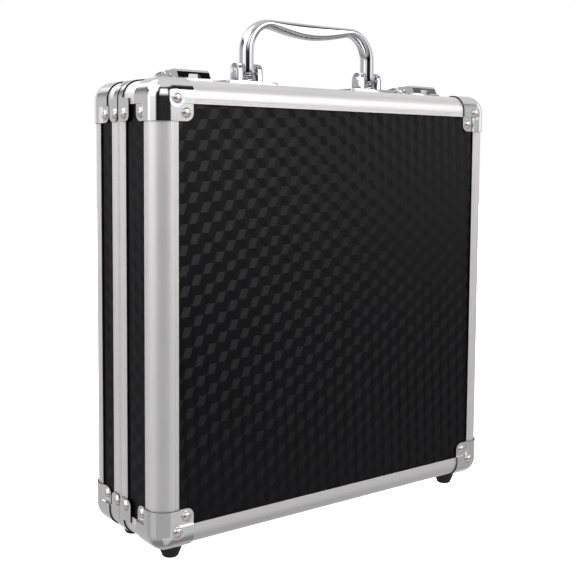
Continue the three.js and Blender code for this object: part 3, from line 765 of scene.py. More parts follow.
def spaced(marks: Sequence[float], steps: Sequence[int]) -> list[float]:
    """Values between marks, evenly spaced from each mark to the next.

    Args:
        marks: the marks in order.
        steps: number of steps between each pair of marks.

    Returns:
        All the values, marks included.
    """
    values = [marks[0]]
    for low, high, count in zip(marks, marks[1:], steps):
        values += [low + (high - low) * i / count for i in range(1, count + 1)]
    return values


def arc(centre: Pair, radius: float, start: float, end: float, steps: int) -> list[Pair]:
    """Points along an arc between two angles in degrees."""
    angles = [math.radians(start + (end - start) * i / steps) for i in range(steps + 1)]
    return [(centre[0] + radius * math.cos(a), centre[1] + radius * math.sin(a)) for a in angles]


def node_copy(node: str, flat: float = 1.0) -> bpy.types.Mesh:
    """A merged copy of a frame node's mesh, with its flat faces made whole.

    Args:
        node: the frame node's name.
        flat: the bend in degrees up to which faces count as one.

    Returns:
        The copied mesh in metres.
    """
    source = bpy.data.objects[node].data.copy()
    cleaner = bmesh.new()
    cleaner.from_mesh(source)
    bmesh.ops.remove_doubles(cleaner, verts=cleaner.verts, dist=MERGE * MM)
    parts = {"verts": cleaner.verts, "edges": cleaner.edges}
    bmesh.ops.dissolve_limit(cleaner, angle_limit=math.radians(flat), delimit={"NORMAL"}, **parts)
    cleaner.to_mesh(source)
    cleaner.free()
    return source


# Rivets


@dataclass
class Rivets:
    """Domed rivet heads: gathered for each shell, then set on their points by geometry nodes."""

    case: CaseSizes = CASE
    radius: float = 3.85
    height: float = 1.7
    flange_share: float = 0.22
    dome_share: float = 0.93
    sides: int = 28
    dome_rings: int = 14
    listed: dict[Body, list[tuple[Triple, np.ndarray]]] = field(
        default_factory=lambda: {Body.BASE: [], Body.LID: []}
    )

    def add(self, side: Side, normal: Axis, *distances: float) -> None:
        """Notes a rivet by its foot's distances inward from a corner and the axis that it looks along."""
        axis = np.eye(3)[normal.value] * (side.x, side.y, side.z)
        self.listed[side.body].append((self.case.place(side, *distances), axis))

    def tree(self) -> tuple[bpy.types.NodeTree, dict[str, str]]:
        """Builds the tree that sets a head on every point, turned along the point's axis.

        Returns:
            The tree, and the identifiers of its inputs by name.
        """
        tree = bpy.data.node_groups.new("rivet_heads", "GeometryNodeTree")
        kinds = {"Points": "Geometry", "Radius": "Float", "Height": "Float", "Flange": "Float"}
        keys = {}
        for name, kind in (kinds | {"Material": "Material"}).items():
            socket = tree.interface.new_socket(name, in_out="INPUT", socket_type=f"NodeSocket{kind}")
            keys[name] = socket.identifier
        tree.interface.new_socket("Heads", in_out="OUTPUT", socket_type="NodeSocketGeometry")
        nodes = NodeTree(tree)
        given = nodes.add("NodeGroupInput").outputs
        counts = {"Segments": self.sides, "Rings": self.dome_rings}
        ball = nodes.add("GeometryNodeMeshUVSphere", None, Radius=1.0, **counts)
        share = nodes.math("MULTIPLY", given["Radius"], self.dome_share)
        scale = nodes.add("ShaderNodeCombineXYZ", None, X=share, Y=share, Z=given["Height"]).outputs[0]
        dome = nodes.add("GeometryNodeTransform", None, Geometry=ball.outputs["Mesh"], Scale=scale)
        flange = nodes.add(
            "GeometryNodeMeshCylinder",
            {"fill_type": "TRIANGLE_FAN"},
            Vertices=self.sides,
            Radius=given["Radius"],
            Depth=nodes.math("MULTIPLY", given["Flange"], 2.0),
        )
        both = nodes.add("GeometryNodeJoinGeometry")
        for part in (dome.outputs[0], flange.outputs["Mesh"]):
            tree.links.new(part, both.inputs[0])
        axis = nodes.add("GeometryNodeInputNamedAttribute", {"data_type": "FLOAT_VECTOR"}, Name="axis")
        turn = nodes.add("FunctionNodeAlignRotationToVector", {"axis": "Z"}, Vector=axis.outputs["Attribute"])
        spread = nodes.add(
            "GeometryNodeInstanceOnPoints",
            None,
            Points=given["Points"],
            Instance=both.outputs[0],
            Rotation=turn.outputs[0],
        )
        real = nodes.add("GeometryNodeRealizeInstances", None, Geometry=spread.outputs[0])
        painted = nodes.add(
            "GeometryNodeSetMaterial", None, Geometry=real.outputs[0], Material=given["Material"]
        )
        nodes.fill(nodes.add("NodeGroupOutput"), {"i0": painted.outputs[0]})
        return tree, keys

    def build(self) -> None:
        """Makes the rivets of each shell as one piece."""
        tree, keys = self.tree()
        sizes = {"Radius": self.radius, "Height": self.height, "Flange": self.flange_share * self.height}
        for body, listed in self.listed.items():
            name = f"{body.value}_rivets"
            mesh = bpy.data.meshes.new(name)
            mesh.from_pydata([tuple(value * MM for value in place) for place, _ in listed], [], [])
            axes = mesh.attributes.new("axis", "FLOAT_VECTOR", "POINT")
            axes.data.foreach_set("vector", np.ravel([axis for _, axis in listed]))
            holder = linked(name, mesh)
            modifier = holder.modifiers.new("rivets", "NODES")
            modifier.node_group = tree
            for label, size in sizes.items():
                modifier[keys[label]] = size * MM
            modifier[keys["Material"]] = material_of(RIVET_NICKEL)
            make_piece(name, plain_mesh(holder), RIVET_NICKEL, body, Touch(sharp=50, merge=0.001))


# Shell frame


@dataclass
class Rolled:
    """What the rolled profiles share: a grooved flange whose end is undercut."""

    grooves: Pair
    case: CaseSizes = CASE
    groove_half: float = 0.25
    groove_depth: float = 0.3
    floor_half: float = 0.06
    end_chamfer: float = 0.1
    end_slope: Pair = (0.03, 0.3)
    undercut: float = 1.3

    def flange_line(self, end: float) -> list[Pair]:
        """The outline of a flange, across its grooves and round its end.

        Args:
            end: distance of the flange's end.

        Returns:
            Pairs of distance along the flange and depth below its outer plane.
        """
        half, floor, depth, chamfer = self.groove_half, self.floor_half, self.groove_depth, self.end_chamfer
        line: list[Pair] = []
        for place in self.grooves:
            line += [(place - half, 0.0), (place - floor, depth), (place + floor, depth), (place + half, 0.0)]
        line += [(end - chamfer, 0.0), (end, chamfer), (end - self.end_slope[0], self.end_slope[1])]
        return line + [(end - self.undercut, self.case.under)]


@dataclass
class EdgeProfiles(Rolled):
    """The rolled aluminium angles along the edges of both shells."""

    grooves: Pair = (13.6, 15.1)
    groove_half: float = 0.225
    arc_steps: int = 14

    def section(self) -> list[Pair]:
        """The closed outline across a profile, in distances inwards from its two planes.

        Returns:
            The outline's points.
        """
        case = self.case
        line = self.flange_line(case.cover)
        angles = spaced((0.0, math.pi / 2), (self.arc_steps,))
        bend = [
            (case.radius - case.radius * math.sin(a), case.radius - case.radius * math.cos(a)) for a in angles
        ]
        inner = case.board_inset - case.seat
        inside = [(case.under, inner), (inner, inner), (inner, case.under)]
        return line[::-1] + bend + [(b, a) for a, b in line] + inside

    def bar(self, side: Side, axis: Axis, low: float, high: float) -> Plan:
        """One straight profile.

        Args:
            side: the corner whose edge it follows.
            axis: the axis that it lies along.
            low: where it starts on that axis.
            high: where it ends.

        Returns:
            The profile's plan.
        """
        rings = []
        for along in (low, high):
            ring = []
            for a, b in self.section():
                distances = {Axis.X: (0.0, a, b), Axis.Y: (a, 0.0, b), Axis.Z: (a, b, 0.0)}[axis]
                point = list(self.case.place(side, *distances))
                point[axis.value] = along
                ring.append(tuple(point))
            rings.append(ring)
        return Plan().add_loft(rings)

    def build(self) -> None:
        """Makes the eight face profiles, and the profiles along the depth at every corner."""
        case = self.case
        touch = Touch(sharp=22)
        cover = case.cover + case.seat
        across = (Axis.X, cover - case.width / 2, case.width / 2 - cover)
        upright = (Axis.Z, case.bottom + cover, case.top - cover)
        for facing, shell in SHELLS:
            for end, x, z, (axis, low, high) in (
                ("top", 1, 1, across),
                ("bottom", 1, -1, across),
                ("right", 1, 1, upright),
                ("left", -1, 1, upright),
            ):
                name = f"{shell.value}_edge_{end}"
                plan = self.bar(Side(x, facing, z), axis, low, high)
                make_piece(f"{name}_profile", plan, PROFILE_ALONG[axis], shell, touch, [name])
        for side in CORNERS:
            face = side.y * (case.depth / 2 - cover)
            rim = side.y * (case.depth / 2 - case.shell_depth(side.body) + case.rim + case.seat)
            plan = self.bar(side, Axis.Y, min(face, rim), max(face, rim))
            nodes = [f"base_corner_profile_{side.where}"] if side.body is Body.BASE else []
            name = f"{side.body.value}_depth_profile_{side.where}"
            make_piece(name, plan, PROFILE_ALONG[Axis.Y], side.body, touch, nodes)


@dataclass
class RimFrames(Rolled):
    """The channel frames that meet at the parting."""

    grooves: Pair = (1.5, 8.2)
    groove_depth: float = 0.28
    corner_steps: int = 12
    web: float = 1.5
    inner: float = 1.0
    chamfer: float = 0.35

    def section(self) -> list[Pair]:
        """The closed outline across a rim.

        Returns:
            Pairs of distance from the parting plane and depth below the outer planes.
        """
        case = self.case
        start, end, web = case.parting_gap, case.rim, case.parting_gap + self.web
        slot = case.flange + case.board + 2 * case.seat
        outside = [(start, self.chamfer), (start + self.chamfer, 0.0)] + self.flange_line(end)
        return outside + [
            (web, case.under),
            (web, slot),
            (end, slot),
            (end, slot + self.inner),
            (start, slot + self.inner),
        ]

    def loop(self, depth: float, y: float) -> list[Triple]:
        """A rounded loop round the case.

        Args:
            depth: distance inside the outer planes.
            y: its plane.

        Returns:
            The loop's points.
        """
        case = self.case
        half_x, half_z, radius = case.width / 2 - depth, case.height / 2 - depth, case.radius - depth
        points: list[Triple] = []
        for x, z, start in ((1, 1, 0), (-1, 1, 90), (-1, -1, 180), (1, -1, 270)):
            centre = (x * (half_x - radius), case.middle + z * (half_z - radius))
            points += [(px, y, pz) for px, pz in arc(centre, radius, start, start + 90, self.corner_steps)]
        return points

    def build(self) -> None:
        """Makes both rims."""
        for facing, shell in SHELLS:
            rings = [self.loop(depth, self.case.parting + facing * along) for along, depth in self.section()]
            plan = Plan().add_loft(list(zip(*rings)), looped=True)
            name = f"{shell.value}_rim"
            make_piece(f"{name}_frame", plan, PROFILE_ALONG[Axis.Y], shell, Touch(sharp=22), [name])


@dataclass
class PressedCorners:
    """Eight pressed corners of nickel plated sheet."""

    rivets: Rivets
    case: CaseSizes = CASE
    arm: float = 28.0
    ear_radius: float = 5.5
    bend_start: float = 16.5
    bend_width: float = 0.12
    ramps: dict[Axis, float] = field(default_factory=lambda: {Axis.X: 2.3, Axis.Y: 0.7, Axis.Z: 0.12})
    steps: tuple[int, ...] = (28, 3, 2, 3, 6, 10)
    face_rivet: Pair = (15.0, 13.2)
    ear_rivet: float = 22.4
    dimple: float = 0.14
    dimple_radius: float = 4.2
    dimple_edge: float = 1.2

    def lift(self, a: float, b: float, normal: Axis) -> float:
        """Height of the sheet over an outer plane.

        Args:
            a: first distance from the corner.
            b: second distance.
            normal: the axis that the face looks along.

        Returns:
            The height in millimetres.
        """
        ramp = min(1.0, max(0.0, (a - self.bend_start) / self.ramps[normal]))
        step = ramp * smooth_step((b - self.bend_start) / self.bend_width)
        height = self.case.raised - self.case.flange * step
        if normal is Axis.Y:
            away = math.hypot(a - self.face_rivet[0], b - self.face_rivet[1])
            height -= self.dimple * (1 - smooth_step((away - self.dimple_radius) / self.dimple_edge))
        return height

    def surface(self, side: Side, normal: Axis) -> list[list[Triple]]:
        """The grid of one of the three faces of a corner.

        Args:
            side: the corner.
            normal: the axis that the face looks along.

        Returns:
            Rows of points.
        """
        radius, bend = self.case.radius, self.bend_start
        first, second = [axis.value for axis in Axis if axis is not normal]
        start = self.arm - self.ear_radius
        ramp_ends = [bend + width for width in sorted(self.ramps.values())]
        places = spaced([0.0, bend, *ramp_ends, start, self.arm], self.steps)
        rows = []
        for first_place in places:
            row = []
            for second_place in places:
                a, b = first_place, second_place
                if a > start and b > start:
                    x, y = (a - start) / self.ear_radius, (b - start) / self.ear_radius
                    scale = max(x, y) / math.hypot(x, y) * self.ear_radius
                    a, b = start + x * scale, start + y * scale
                point, centre = np.zeros(3), np.full(3, radius)
                point[first], point[second] = a, b
                centre[first], centre[second] = max(a, radius), max(b, radius)
                out = point - centre
                reach = radius + self.lift(a, b, normal)
                row.append(self.case.place(side, *(centre + out / np.linalg.norm(out) * reach)))
            rows.append(row)
        return rows

    def build(self) -> None:
        """Makes the eight corners and notes their rivets."""
        raised, ear, face = self.case.raised, self.ear_rivet, self.face_rivet
        low = self.case.flange - raised
        for side in CORNERS:
            plan = Plan()
            for normal in Axis:
                plan.add_grid(self.surface(side, normal))
            inside = self.case.place(side, self.arm, self.arm, self.arm)
            make_sheet(f"{side.body.value}_corner_{side.where}", plan, side.body, inside)
            self.rivets.add(side, Axis.Y, face[0], self.dimple - raised, face[1])
            self.rivets.add(side, Axis.Y, ear, low, ear)
            self.rivets.add(side, Axis.X, low, ear, ear)
            if side.z > 0:
                self.rivets.add(side, Axis.Z, ear, ear, low)


@dataclass
class RimBrackets:
    """Sheet brackets that wrap each rim corner, with an ear on either face."""

    rivets: Rivets
    case: CaseSizes = CASE
    reach: float = 27.5
    strip: float = 5.5
    ear_end: dict[Body, float] = field(default_factory=lambda: {Body.BASE: 16.2, Body.LID: 11.8})
    ear_radius: float = 4.0
    setback: float = 0.16
    top_base_setback: float = 1.6
    rivet_across: float = 22.6
    rivet_along: dict[Body, float] = field(default_factory=lambda: {Body.BASE: 8.9, Body.LID: 3.9})
    rows: int = 16
    flat_steps: int = 16
    round_steps: int = 12
    bend_steps: int = 26

    @property
    def round_start(self) -> float:
        """Distance from the corner at which an ear begins to round off."""
        return self.reach - self.ear_radius

    def stations(self) -> list[tuple[Pair, Pair, float]]:
        """Places round the corner of the rim.

        Returns:
            For each station its place, its outward direction and its distance from the corner.
        """
        radius, start = self.case.radius, self.round_start
        turns = spaced((0.0, math.pi / 2), (self.round_steps,))[1:]
        ear = spaced((radius, start), (self.flat_steps,))[1:]
        ear += [start + self.ear_radius * math.sin(turn) for turn in turns]
        stations = [((0.0, w), (-1.0, 0.0), w) for w in reversed(ear)]
        for angle in spaced((0.0, math.pi / 2), (self.bend_steps,)):
            c, s = math.cos(angle), math.sin(angle)
            place = (radius - radius * c, radius - radius * s)
            stations.append((place, (-c, -s), max(place)))
        return stations + [((u, 0.0), (0.0, -1.0), u) for u in ear]

    def spread(self, distance: float, near: float, body: Body) -> Pair:
        """How far a bracket reaches along the depth at one station.

        Args:
            distance: distance from the corner.
            near: the end nearest the parting.
            body: the shell.

        Returns:
            Its near and far ends, measured from the parting.
        """
        if distance < self.case.radius - MERGE:
            return near, near + self.strip
        past = max(0.0, distance - self.round_start)
        inset = self.ear_radius - math.sqrt(max(0.0, self.ear_radius**2 - past**2))
        return near + inset, self.ear_end[body] - inset

    def build(self) -> None:
        """Makes the eight brackets and notes their rivets."""
        case = self.case
        raised, across = case.raised, self.rivet_across
        for side in CORNERS:
            near = self.top_base_setback if side.body is Body.BASE and side.z > 0 else self.setback
            depth = case.shell_depth(side.body)
            rows = []
            for (u, w), (out_u, out_w), distance in self.stations():
                reach = spaced(self.spread(distance, near, side.body), (self.rows,))
                u, w = u + out_u * raised, w + out_w * raised
                rows.append([case.place(side, u, depth - along, w) for along in reach])
            inside = case.place(side, self.reach, depth, self.reach)
            node = f"{side.body.value}_rim_bracket_{side.where}"
            make_sheet(node, Plan().add_grid(rows), side.body, inside)
            along = depth - self.rivet_along[side.body]
            self.rivets.add(side, Axis.X, -raised, along, across)
            self.rivets.add(side, Axis.Z, across, along, -raised)


@dataclass
class Boards:
    """The laminated panels and walls, which keep their frame shapes."""

    def build(self) -> None:
        """Gives every board the film as it lies there."""
        for shell, facing in ((Body.BASE, Facing.FRONT), (Body.LID, Facing.BACK)):
            self.paint(f"{shell.value}_face_panel", facing, FACE_LAY)
            for end in (Facing.TOP, Facing.BOTTOM, Facing.LEFT, Facing.RIGHT):
                self.paint(f"{shell.value}_wall_{end.name.lower()}", end, WALL_LAYS[shell])

    @staticmethod
    def paint(node: str, facing: Facing, lay: FilmLay) -> None:
        """Sets the material of one board.

        Args:
            node: the frame node.
            facing: where the board looks.
            lay: how the film lies on it.
        """
        board = bpy.data.objects[node]
        board.data.materials.clear()
        board.data.materials.append(material_of(Laminate(f"film_{node}", facing, lay)))
        LOG.info("%s: laminate", node)


@dataclass
class Feet:
    """Four rubber feet under the pressed corners."""

    case: CaseSizes = CASE
    top_radius: float = 9.0
    bottom_radius: float = 6.0
    edge: float = 2.0
    edge_end: float = -8.0
    edge_steps: int = 6
    sole_hollow: float = 0.35
    hollow_radii: Pair = (1.6, 2.0)
    bead: float = 1.0
    bead_top: float = 0.6
    bead_inset: float = 0.12
    top_inset: float = 0.3
    stem: float = 3.0
    inset_x: float = 21.6
    inset_y: float = 20.7
    sides: int = 48

    def profile(self) -> list[Pair]:
        """The outline of half a foot.

        Returns:
            Radius and height pairs from the middle of the sole to the middle of the stem.
        """
        top = self.case.bottom - self.case.sheet - 2 * self.case.seat
        stem_top = top + self.case.flange - 2 * self.case.seat
        flat = self.bottom_radius - self.edge
        hollow_end, flat_start = self.hollow_radii
        sole = [(0.0, self.sole_hollow), (hollow_end, self.sole_hollow), (flat_start, 0.0), (flat, 0.0)]
        edge = arc((flat, self.edge), self.edge, -90, self.edge_end, self.edge_steps)[1:]
        bead = [(self.top_radius - self.bead_inset, top - self.bead), (self.top_radius, top - self.bead_top)]
        upper = [(self.top_radius - self.top_inset, top), (self.stem, top), (self.stem, stem_top)]
        return sole + edge + bead + upper + [(0.0, stem_top)]

    def build(self) -> None:
        """Makes the feet as turned solids."""
        turns = [2 * math.pi * i / self.sides for i in range(self.sides)]
        for side in (corner for corner in CORNERS if corner.z < 0):
            x, y, _ = self.case.place(side, self.inset_x, self.inset_y, 0.0)
            rows = [
                [(x + radius * math.cos(a), y + radius * math.sin(a), height) for a in turns]
                for radius, height in self.profile()
            ]
            node = f"{side.body.value}_foot_{'right' if side.x > 0 else 'left'}"
            plan = Plan().add_grid(rows, closed=True)
            make_piece(f"{node}_rubber", plan, RUBBER, side.body, Touch(sharp=50, merge=0.01), [node])


# Handle and latches


@dataclass
class Handle:
    """The cast swing handle."""

    case: CaseSizes = CASE
    arm_x: float = 58.0
    y: float = -7.0
    pivot: float = 11.2
    rise: float = 50.3
    arm_thickness: float = 9.0
    arm_width: float = 12.0
    end_thickness: float = 6.4
    end_width: float = 0.6
    grip_thickness: float = 11.5
    grip_width: float = 10.8
    hollow: float = 0.3
    bend: float = 20.0
    power: float = 2.4
    grip_power: float = 3.4
    grip_lean: float = 0.09
    sides: int = 96
    eye_steps: int = 8
    eye_step: float = 10.5
    arm_steps: int = 8
    bend_steps: int = 40
    grip_steps: int = 64

    def ring(
        self, outer: Triple, angle: float, thickness: float, width: float, belly: float = 0.0
    ) -> list[Triple]:
        """One rounded section.

        Args:
            outer: the outermost point of the section.
            angle: direction outwards, from +X towards +Z.
            thickness: size along that direction.
            width: size along the depth of the case.
            belly: how much of the grip's fuller section it has, from 0 to 1.

        Returns:
            The ring of points.
        """
        out = np.array([math.cos(angle), 0.0, math.sin(angle)])
        centre = np.array(outer) - out * thickness / 2
        power = self.power + (self.grip_power - self.power) * belly
        ring = []
        for i in range(self.sides):
            turn = 2 * math.pi * (i + 0.5) / self.sides
            c, s = math.cos(turn), math.sin(turn)
            first = math.copysign(abs(c) ** (2 / power), c) * thickness / 2
            second = math.copysign(abs(s) ** (2 / power), s) * width / 2 + self.grip_lean * belly * first
            ring.append(tuple(centre + out * first + np.array([0.0, second, 0.0])))
        return ring

    def half(self) -> list[list[Triple]]:
        """Sections from the right pivot to the start of the grip.

        Returns:
            The rings in order.
        """
        arm = self.arm_x + self.arm_thickness / 2
        outer = self.bend + self.arm_thickness / 2
        pivot_z = self.case.top + self.pivot
        bend_z = self.case.top + self.rise - outer
        rings = []
        for i in range(1, self.eye_steps + 1):
            turn = math.radians(90 - self.eye_step * i)
            width = max(self.end_width, self.arm_width * math.cos(turn))
            place = (arm, self.y, pivot_z - self.arm_width / 2 * math.sin(turn))
            rings.append(self.ring(place, 0.0, self.arm_thickness, width))
        for z in spaced((pivot_z, bend_z), (self.arm_steps,))[1:-1]:
            rings.append(self.ring((arm, self.y, z), 0.0, self.arm_thickness, self.arm_width))
        for i in range(self.bend_steps + 1):
            angle = math.pi / 2 * i / self.bend_steps
            share = smooth_step(i / self.bend_steps)
            thickness = self.arm_thickness + (self.end_thickness - self.arm_thickness) * share
            place = (arm - outer + outer * math.cos(angle), self.y, bend_z + outer * math.sin(angle))
            rings.append(self.ring(place, angle, thickness, self.arm_width))
        return rings

    def build(self) -> None:
        """Makes the handle as one swept skin."""
        rings = self.half()
        mirrored = [[(-x, y, z) for x, y, z in ring] for ring in reversed(rings)]
        start = self.arm_x - self.bend
        for share in spaced((0.0, 1.0), (self.grip_steps,))[1:-1]:
            belly = math.sin(math.pi * share)
            thickness = self.end_thickness + (self.grip_thickness - self.end_thickness) * belly
            width = self.arm_width + (self.grip_width - self.arm_width) * belly
            place = (start * (1 - 2 * share), self.y, self.case.top + self.rise - self.hollow * belly)
            rings.append(self.ring(place, math.pi / 2, thickness, width, belly))
        plan = Plan().add_loft(rings + mirrored)
        make_piece("handle_casting", plan, CHROME, Body.HANDLE, Touch(sharp=60, merge=0.001), ["handle"])


@dataclass
class Fittings:
    """Plated brackets, latches and hinge leaves: frame shapes with softened edges."""

    case: CaseSizes = CASE
    sharp: float = 38.0
    bracket_edge: float = 0.35
    latch_edge: float = 0.2
    hook_edge: float = 0.25
    hinge_edge: float = 0.12
    lip_bottom: float = 2.8
    lip_lean: float = 28.0
    lip_rear: float = -19.0
    lip_sharp: float = 12.0
    plate_half: float = 5.4
    plate_heights: Pair = (0.1, 3.05)
    plate_depths: Pair = (-18.9, -18.3)

    def softened(self, node: str, finish: Finish, body: Body, edge: float) -> None:
        """Remakes one frame node with soft edges of the given width."""
        touch = Touch(bevel=edge, sharp=self.sharp)
        make_piece(f"{node}_plated", node_copy(node), finish, body, touch, [node])

    def lever(self, side: str, body: Body) -> None:
        """Makes one lever, whose front lip leans back and has a plate behind its finger notch.

        Args:
            side: left or right.
            body: the lever's body.
        """
        node = f"latch_lever_{side}"
        mesh = node_copy(node)
        middle = sum(corner.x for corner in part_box(node)) / 2 / MM
        bottom = self.case.top + self.lip_bottom
        slope = math.tan(math.radians(self.lip_lean))
        for vertex in mesh.vertices:
            if vertex.co.y < self.lip_rear * MM:
                vertex.co.y += max(0.0, vertex.co.z - bottom * MM) * slope
        touch = Touch(bevel=self.latch_edge, sharp=self.lip_sharp)
        make_piece(f"{node}_plated", mesh, LATCH_CHROME, body, touch, [node])
        left, right = middle - self.plate_half, middle + self.plate_half
        low, high = (bottom + height for height in self.plate_heights)
        outline = ((left, low), (right, low), (right, high), (left, high))
        plan = Plan().add_loft([[(x, y, z) for x, z in outline] for y in self.plate_depths])
        make_piece(f"{node}_finger_plate", plan, LATCH_CHROME, body)

    def build(self) -> None:
        """Makes every fitting."""
        for side, lever, hook in (
            ("left", Body.LEVER_LEFT, Body.HOOK_LEFT),
            ("right", Body.LEVER_RIGHT, Body.HOOK_RIGHT),
        ):
            self.softened(f"handle_bracket_{side}", CHROME, Body.BASE, self.bracket_edge)
            self.softened(f"latch_plate_{side}", LATCH_CHROME, Body.BASE, self.latch_edge)
            self.softened(f"latch_catch_{side}", LATCH_CHROME, Body.LID, self.latch_edge)
            self.lever(side, lever)
            self.softened(f"latch_hook_{side}", LATCH_CHROME, hook, self.hook_edge)
        for _, shell in SHELLS:
            self.softened(f"hinge_leaf_{shell.value}", PROFILE_ALONG[Axis.X], shell, self.hinge_edge)


# Foam


@dataclass
class FoamParts:
    """Foam floor, ball divider and lid pad."""

    cells: int = 4
    divider: float = 14.0
    divider_edge: float = 1.2
    corner: float = 2.4
    corner_share: float = 0.3
    side_steps: int = 28
    fill: float = 0.8

    def slab(self, low: Vector, high: Vector) -> Plan:
        """A pad with rounded edges.

        Args:
            low: lowest corner in millimetres.
            high: highest corner.

        Returns:
            The pad's plan.
        """
        part = self.corner * self.corner_share
        layers = [(0.0, self.corner), (part, part), (self.corner, 0.0)]
        profile = [(low.y + depth, inset) for depth, inset in layers]
        profile += [(high.y - depth, inset) for depth, inset in reversed(layers)]
        rings = []
        for y, inset in profile:
            x0, x1, z0, z1 = low.x + inset, high.x - inset, low.z + inset, high.z - inset
            corners = [(x0, z0), (x1, z0), (x1, z1), (x0, z1)]
            ring = []
            for (ax, az), (bx, bz) in zip(corners, corners[1:] + corners[:1]):
                for share in spaced((0.0, 1.0), (self.side_steps,))[:-1]:
                    ring.append((ax + (bx - ax) * share, y, az + (bz - az) * share))
            rings.append(ring)
        return Plan().add_loft(rings)

    def filled(self, i: int, j: int) -> bool:
        """Whether a field of the divider's raster is foam and not the room of a ball."""
        count = 2 * self.cells - 1
        return 0 <= i < count and 0 <= j < count and (i % 2 == 1 or j % 2 == 1)

    def divider_plan(self, low: Vector, high: Vector) -> Plan:
        """Crossing strips between the ball cells.

        Args:
            low: lowest corner in millimetres.
            high: highest corner.

        Returns:
            The divider's plan.
        """
        cuts = []
        for start, end in ((low.x, high.x), (low.z, high.z)):
            cell = (end - start - (self.cells - 1) * self.divider) / self.cells
            line = [start]
            for i in range(self.cells - 1):
                line += [start + (i + 1) * cell + i * self.divider, start + (i + 1) * (cell + self.divider)]
            cuts.append(line + [end])
        across, up = cuts
        plan = Plan()
        fields = [(i, j) for i in range(len(across) - 1) for j in range(len(up) - 1) if self.filled(i, j)]
        for i, j in fields:
            x0, x1, z0, z1 = across[i], across[i + 1], up[j], up[j + 1]
            for y, order in ((low.y, (0, 1, 2, 3)), (high.y, (3, 2, 1, 0))):
                plan.add([(x0, y, z0), (x1, y, z0), (x1, y, z1), (x0, y, z1)], [order])
            for step_i, step_j, (ax, az), (bx, bz) in (
                (-1, 0, (x0, z0), (x0, z1)),
                (1, 0, (x1, z0), (x1, z1)),
                (0, -1, (x0, z0), (x1, z0)),
                (0, 1, (x0, z1), (x1, z1)),
            ):
                if not self.filled(i + step_i, j + step_j):
                    corners = [(ax, low.y, az), (bx, low.y, bz), (bx, high.y, bz), (ax, high.y, az)]
                    plan.add(corners, [(0, 1, 2, 3)])
        return plan

    def build(self) -> None:
        for node, body, shape, edge in (
            ("base_foam_floor", Body.BASE, self.slab, 0.0),
            ("lid_foam_pad", Body.LID, self.slab, 0.0),
            ("base_foam_grid", Body.BASE, self.divider_plan, self.divider_edge),
        ):
            plan = shape(*(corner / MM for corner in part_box(node)))
            touch = Touch(bevel=edge, segments=3, sharp=60)
            piece = make_piece(f"{node}_foam", plan, FOAM, body, touch, [node])


# Studio


@dataclass(frozen=True)
class Glow:
    """A soft box as seen from the case: turns from -Y towards -X and heights, in degrees."""

    light: float
    turns: Pair
    rises: Pair
    turn_edges: Pair = (4.0, 4.0)
    rise_edges: Pair = (6.0, 6.0)


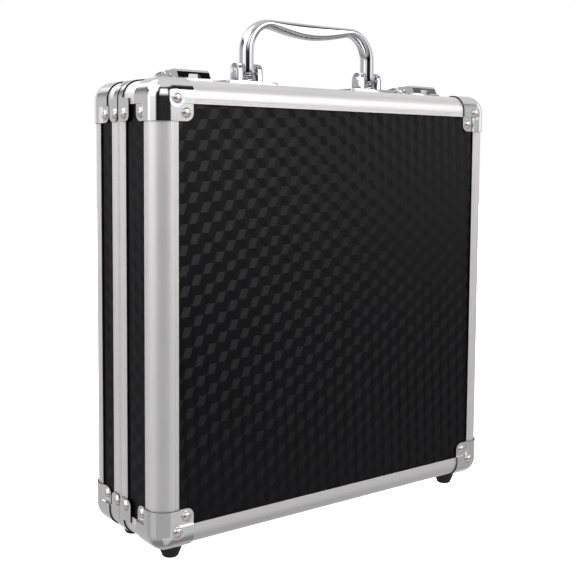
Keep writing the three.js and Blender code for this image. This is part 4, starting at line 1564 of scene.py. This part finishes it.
@dataclass
class Studio:
    """Floor, surround and the camera of the photograph, whose centre and frame are in pixels."""

    place: Triple = (-0.46765, -0.61172, 0.27302)
    azimuth: float = 37.82
    pitch: float = -4.35
    roll: float = 0.509
    focal: float = 991.3
    centre_x: float = 309.65
    centre_y: float = 236.1
    frame: float = 576.0
    sensor: float = 36.0
    clip: Pair = (0.01, 100.0)
    floor_half: float = 6.0
    floor_height: float = -0.09
    ambient: float = 0.008
    glows: tuple[Glow, ...] = (
        Glow(3.45, (-44, -11), (8, 37), (4, 6), (30, 6)),
        Glow(0.5, (-91, -42), (-4, 34), (14, 9), (10, 8)),
        Glow(1.53, (74, 126), (1, 49), (6, 11), (21, 8)),
        Glow(0.6, (114, 170), (-6, 18), (18, 8), (12, 25)),
        Glow(3.2, (70, 180), (30, 60), (16, 6), (10, 6)),
        Glow(0.7, (-190, -66), (-2, 56), (2, 12), (10, 6)),
        Glow(0.89, (166, 200), (-4, 50), (8, 1), (8, 6)),
        Glow(1.31, (3, 52), (14, 45), (7, 5), (20, 8)),
        Glow(0.78, (-200, 200), (56, 100), (1, 1), (6, 2)),
        Glow(0.43, (-200, 200), (-46, -9), (1, 1), (12, 12)),
        Glow(0.23, (-200, 200), (-100, -46), (1, 1), (2, 12)),
        Glow(0.18, (-36, -4), (-36, -9), (10, 12), (10, 12)),
        Glow(0.3, (-20, 42), (-80, -36), (14, 14), (8, 12)),
        Glow(0.13, (80, 116), (-36, -9), (10, 12), (10, 12)),
        Glow(0.2, (-200, -90), (-100, -9), (1, 20), (2, 12)),
        Glow(0.09, (150, 200), (-100, -9), (12, 1), (2, 12)),
    )

    def camera(self) -> None:
        """Makes the camera."""
        matrix = Matrix.Translation(self.place)
        for angle, axis in ((-self.azimuth, "Z"), (90 + self.pitch, "X"), (self.roll, "Z")):
            matrix = matrix @ Matrix.Rotation(math.radians(angle), 4, axis)
        data = bpy.data.cameras.new("camera")
        data.sensor_width = self.sensor
        data.lens = self.sensor * self.focal / self.frame
        data.shift_x = -(self.centre_x - self.frame / 2) / self.frame
        data.shift_y = (self.centre_y - self.frame / 2) / self.frame
        data.clip_start, data.clip_end = self.clip
        camera = linked("camera", data)
        camera.matrix_world = matrix
        bpy.context.scene.camera = camera

    def patch(self, nodes: NodeTree, turn: Any, rise: Any, glow: Glow) -> Socket:
        """The light of one soft box, by direction.

        Args:
            nodes: the surround's tree.
            turn: the direction's turn in degrees.
            rise: its height in degrees.
            glow: the box.

        Returns:
            The light's socket.
        """
        light: Any = glow.light
        for value, ends, edges in ((turn, glow.turns, glow.turn_edges), (rise, glow.rises, glow.rise_edges)):
            for end, edge, (before, after) in zip(ends, edges, ((0.0, 1.0), (1.0, 0.0))):
                step = nodes.add(
                    "ShaderNodeMapRange",
                    {"interpolation_type": "SMOOTHSTEP"},
                    i0=value,
                    i1=end - edge / 2,
                    i2=end + edge / 2,
                    i3=before,
                    i4=after,
                )
                light = nodes.math("MULTIPLY", light, step.outputs[0])
        return light

    def world(self) -> None:
        """Sets a white backdrop, and soft boxes round the case that its metal reflects."""
        world = bpy.data.worlds.new("surround")
        world.use_nodes = True
        bpy.context.scene.world = world
        nodes = NodeTree(world.node_tree)
        direction = nodes.add("ShaderNodeTexCoord").outputs["Generated"]
        parts = nodes.add("ShaderNodeSeparateXYZ", None, Vector=direction).outputs
        left, front = nodes.math("MULTIPLY", parts[0], -1.0), nodes.math("MULTIPLY", parts[1], -1.0)
        turn = nodes.math("MULTIPLY", nodes.math("ARCTAN2", left, front), math.degrees(1))
        rise = nodes.math("MULTIPLY", nodes.math("ARCSINE", parts[2]), math.degrees(1))
        light: Any = self.ambient
        for glow in self.glows:
            light = nodes.math("ADD", light, self.patch(nodes, turn, rise, glow))
        seen = nodes.add("ShaderNodeLightPath").outputs["Is Camera Ray"]
        looks = {"Color": (1.0, 1.0, 1.0, 1.0), "Strength": nodes.blend(seen, light, 1.0)}
        nodes.fill(world.node_tree.nodes["Background"], looks)

    def floor(self) -> None:
        """Makes the plain floor, as white as the backdrop and below the reach of the opened lid."""
        half, low = self.floor_half, self.floor_height
        mesh = bpy.data.meshes.new("floor")
        corners = [(-half, -half, low), (half, -half, low), (half, half, low), (-half, half, low)]
        mesh.from_pydata(corners, [], [(0, 1, 2, 3)])
        mesh.materials.append(material_of(FloorPaint()))
        floor = linked("floor", mesh)
        floor.visible_glossy = False
        floor.visible_diffuse = False
        floor.visible_shadow = False

    def build(self) -> None:
        """Makes the whole studio."""
        bpy.context.scene.view_settings.view_transform = "Standard"
        self.camera()
        self.world()
        self.floor()


def main() -> None:
    """Loads the frame and builds every part of the case."""
    logging.basicConfig(level=logging.INFO, format="%(message)s")
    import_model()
    Studio().build()
    rivets = Rivets()
    Boards().build()
    EdgeProfiles().build()
    RimFrames().build()
    PressedCorners(rivets).build()
    RimBrackets(rivets).build()
    rivets.build()
    Feet().build()
    Handle().build()
    Fittings().build()
    FoamParts().build()


if __name__ == "__main__":
    main()
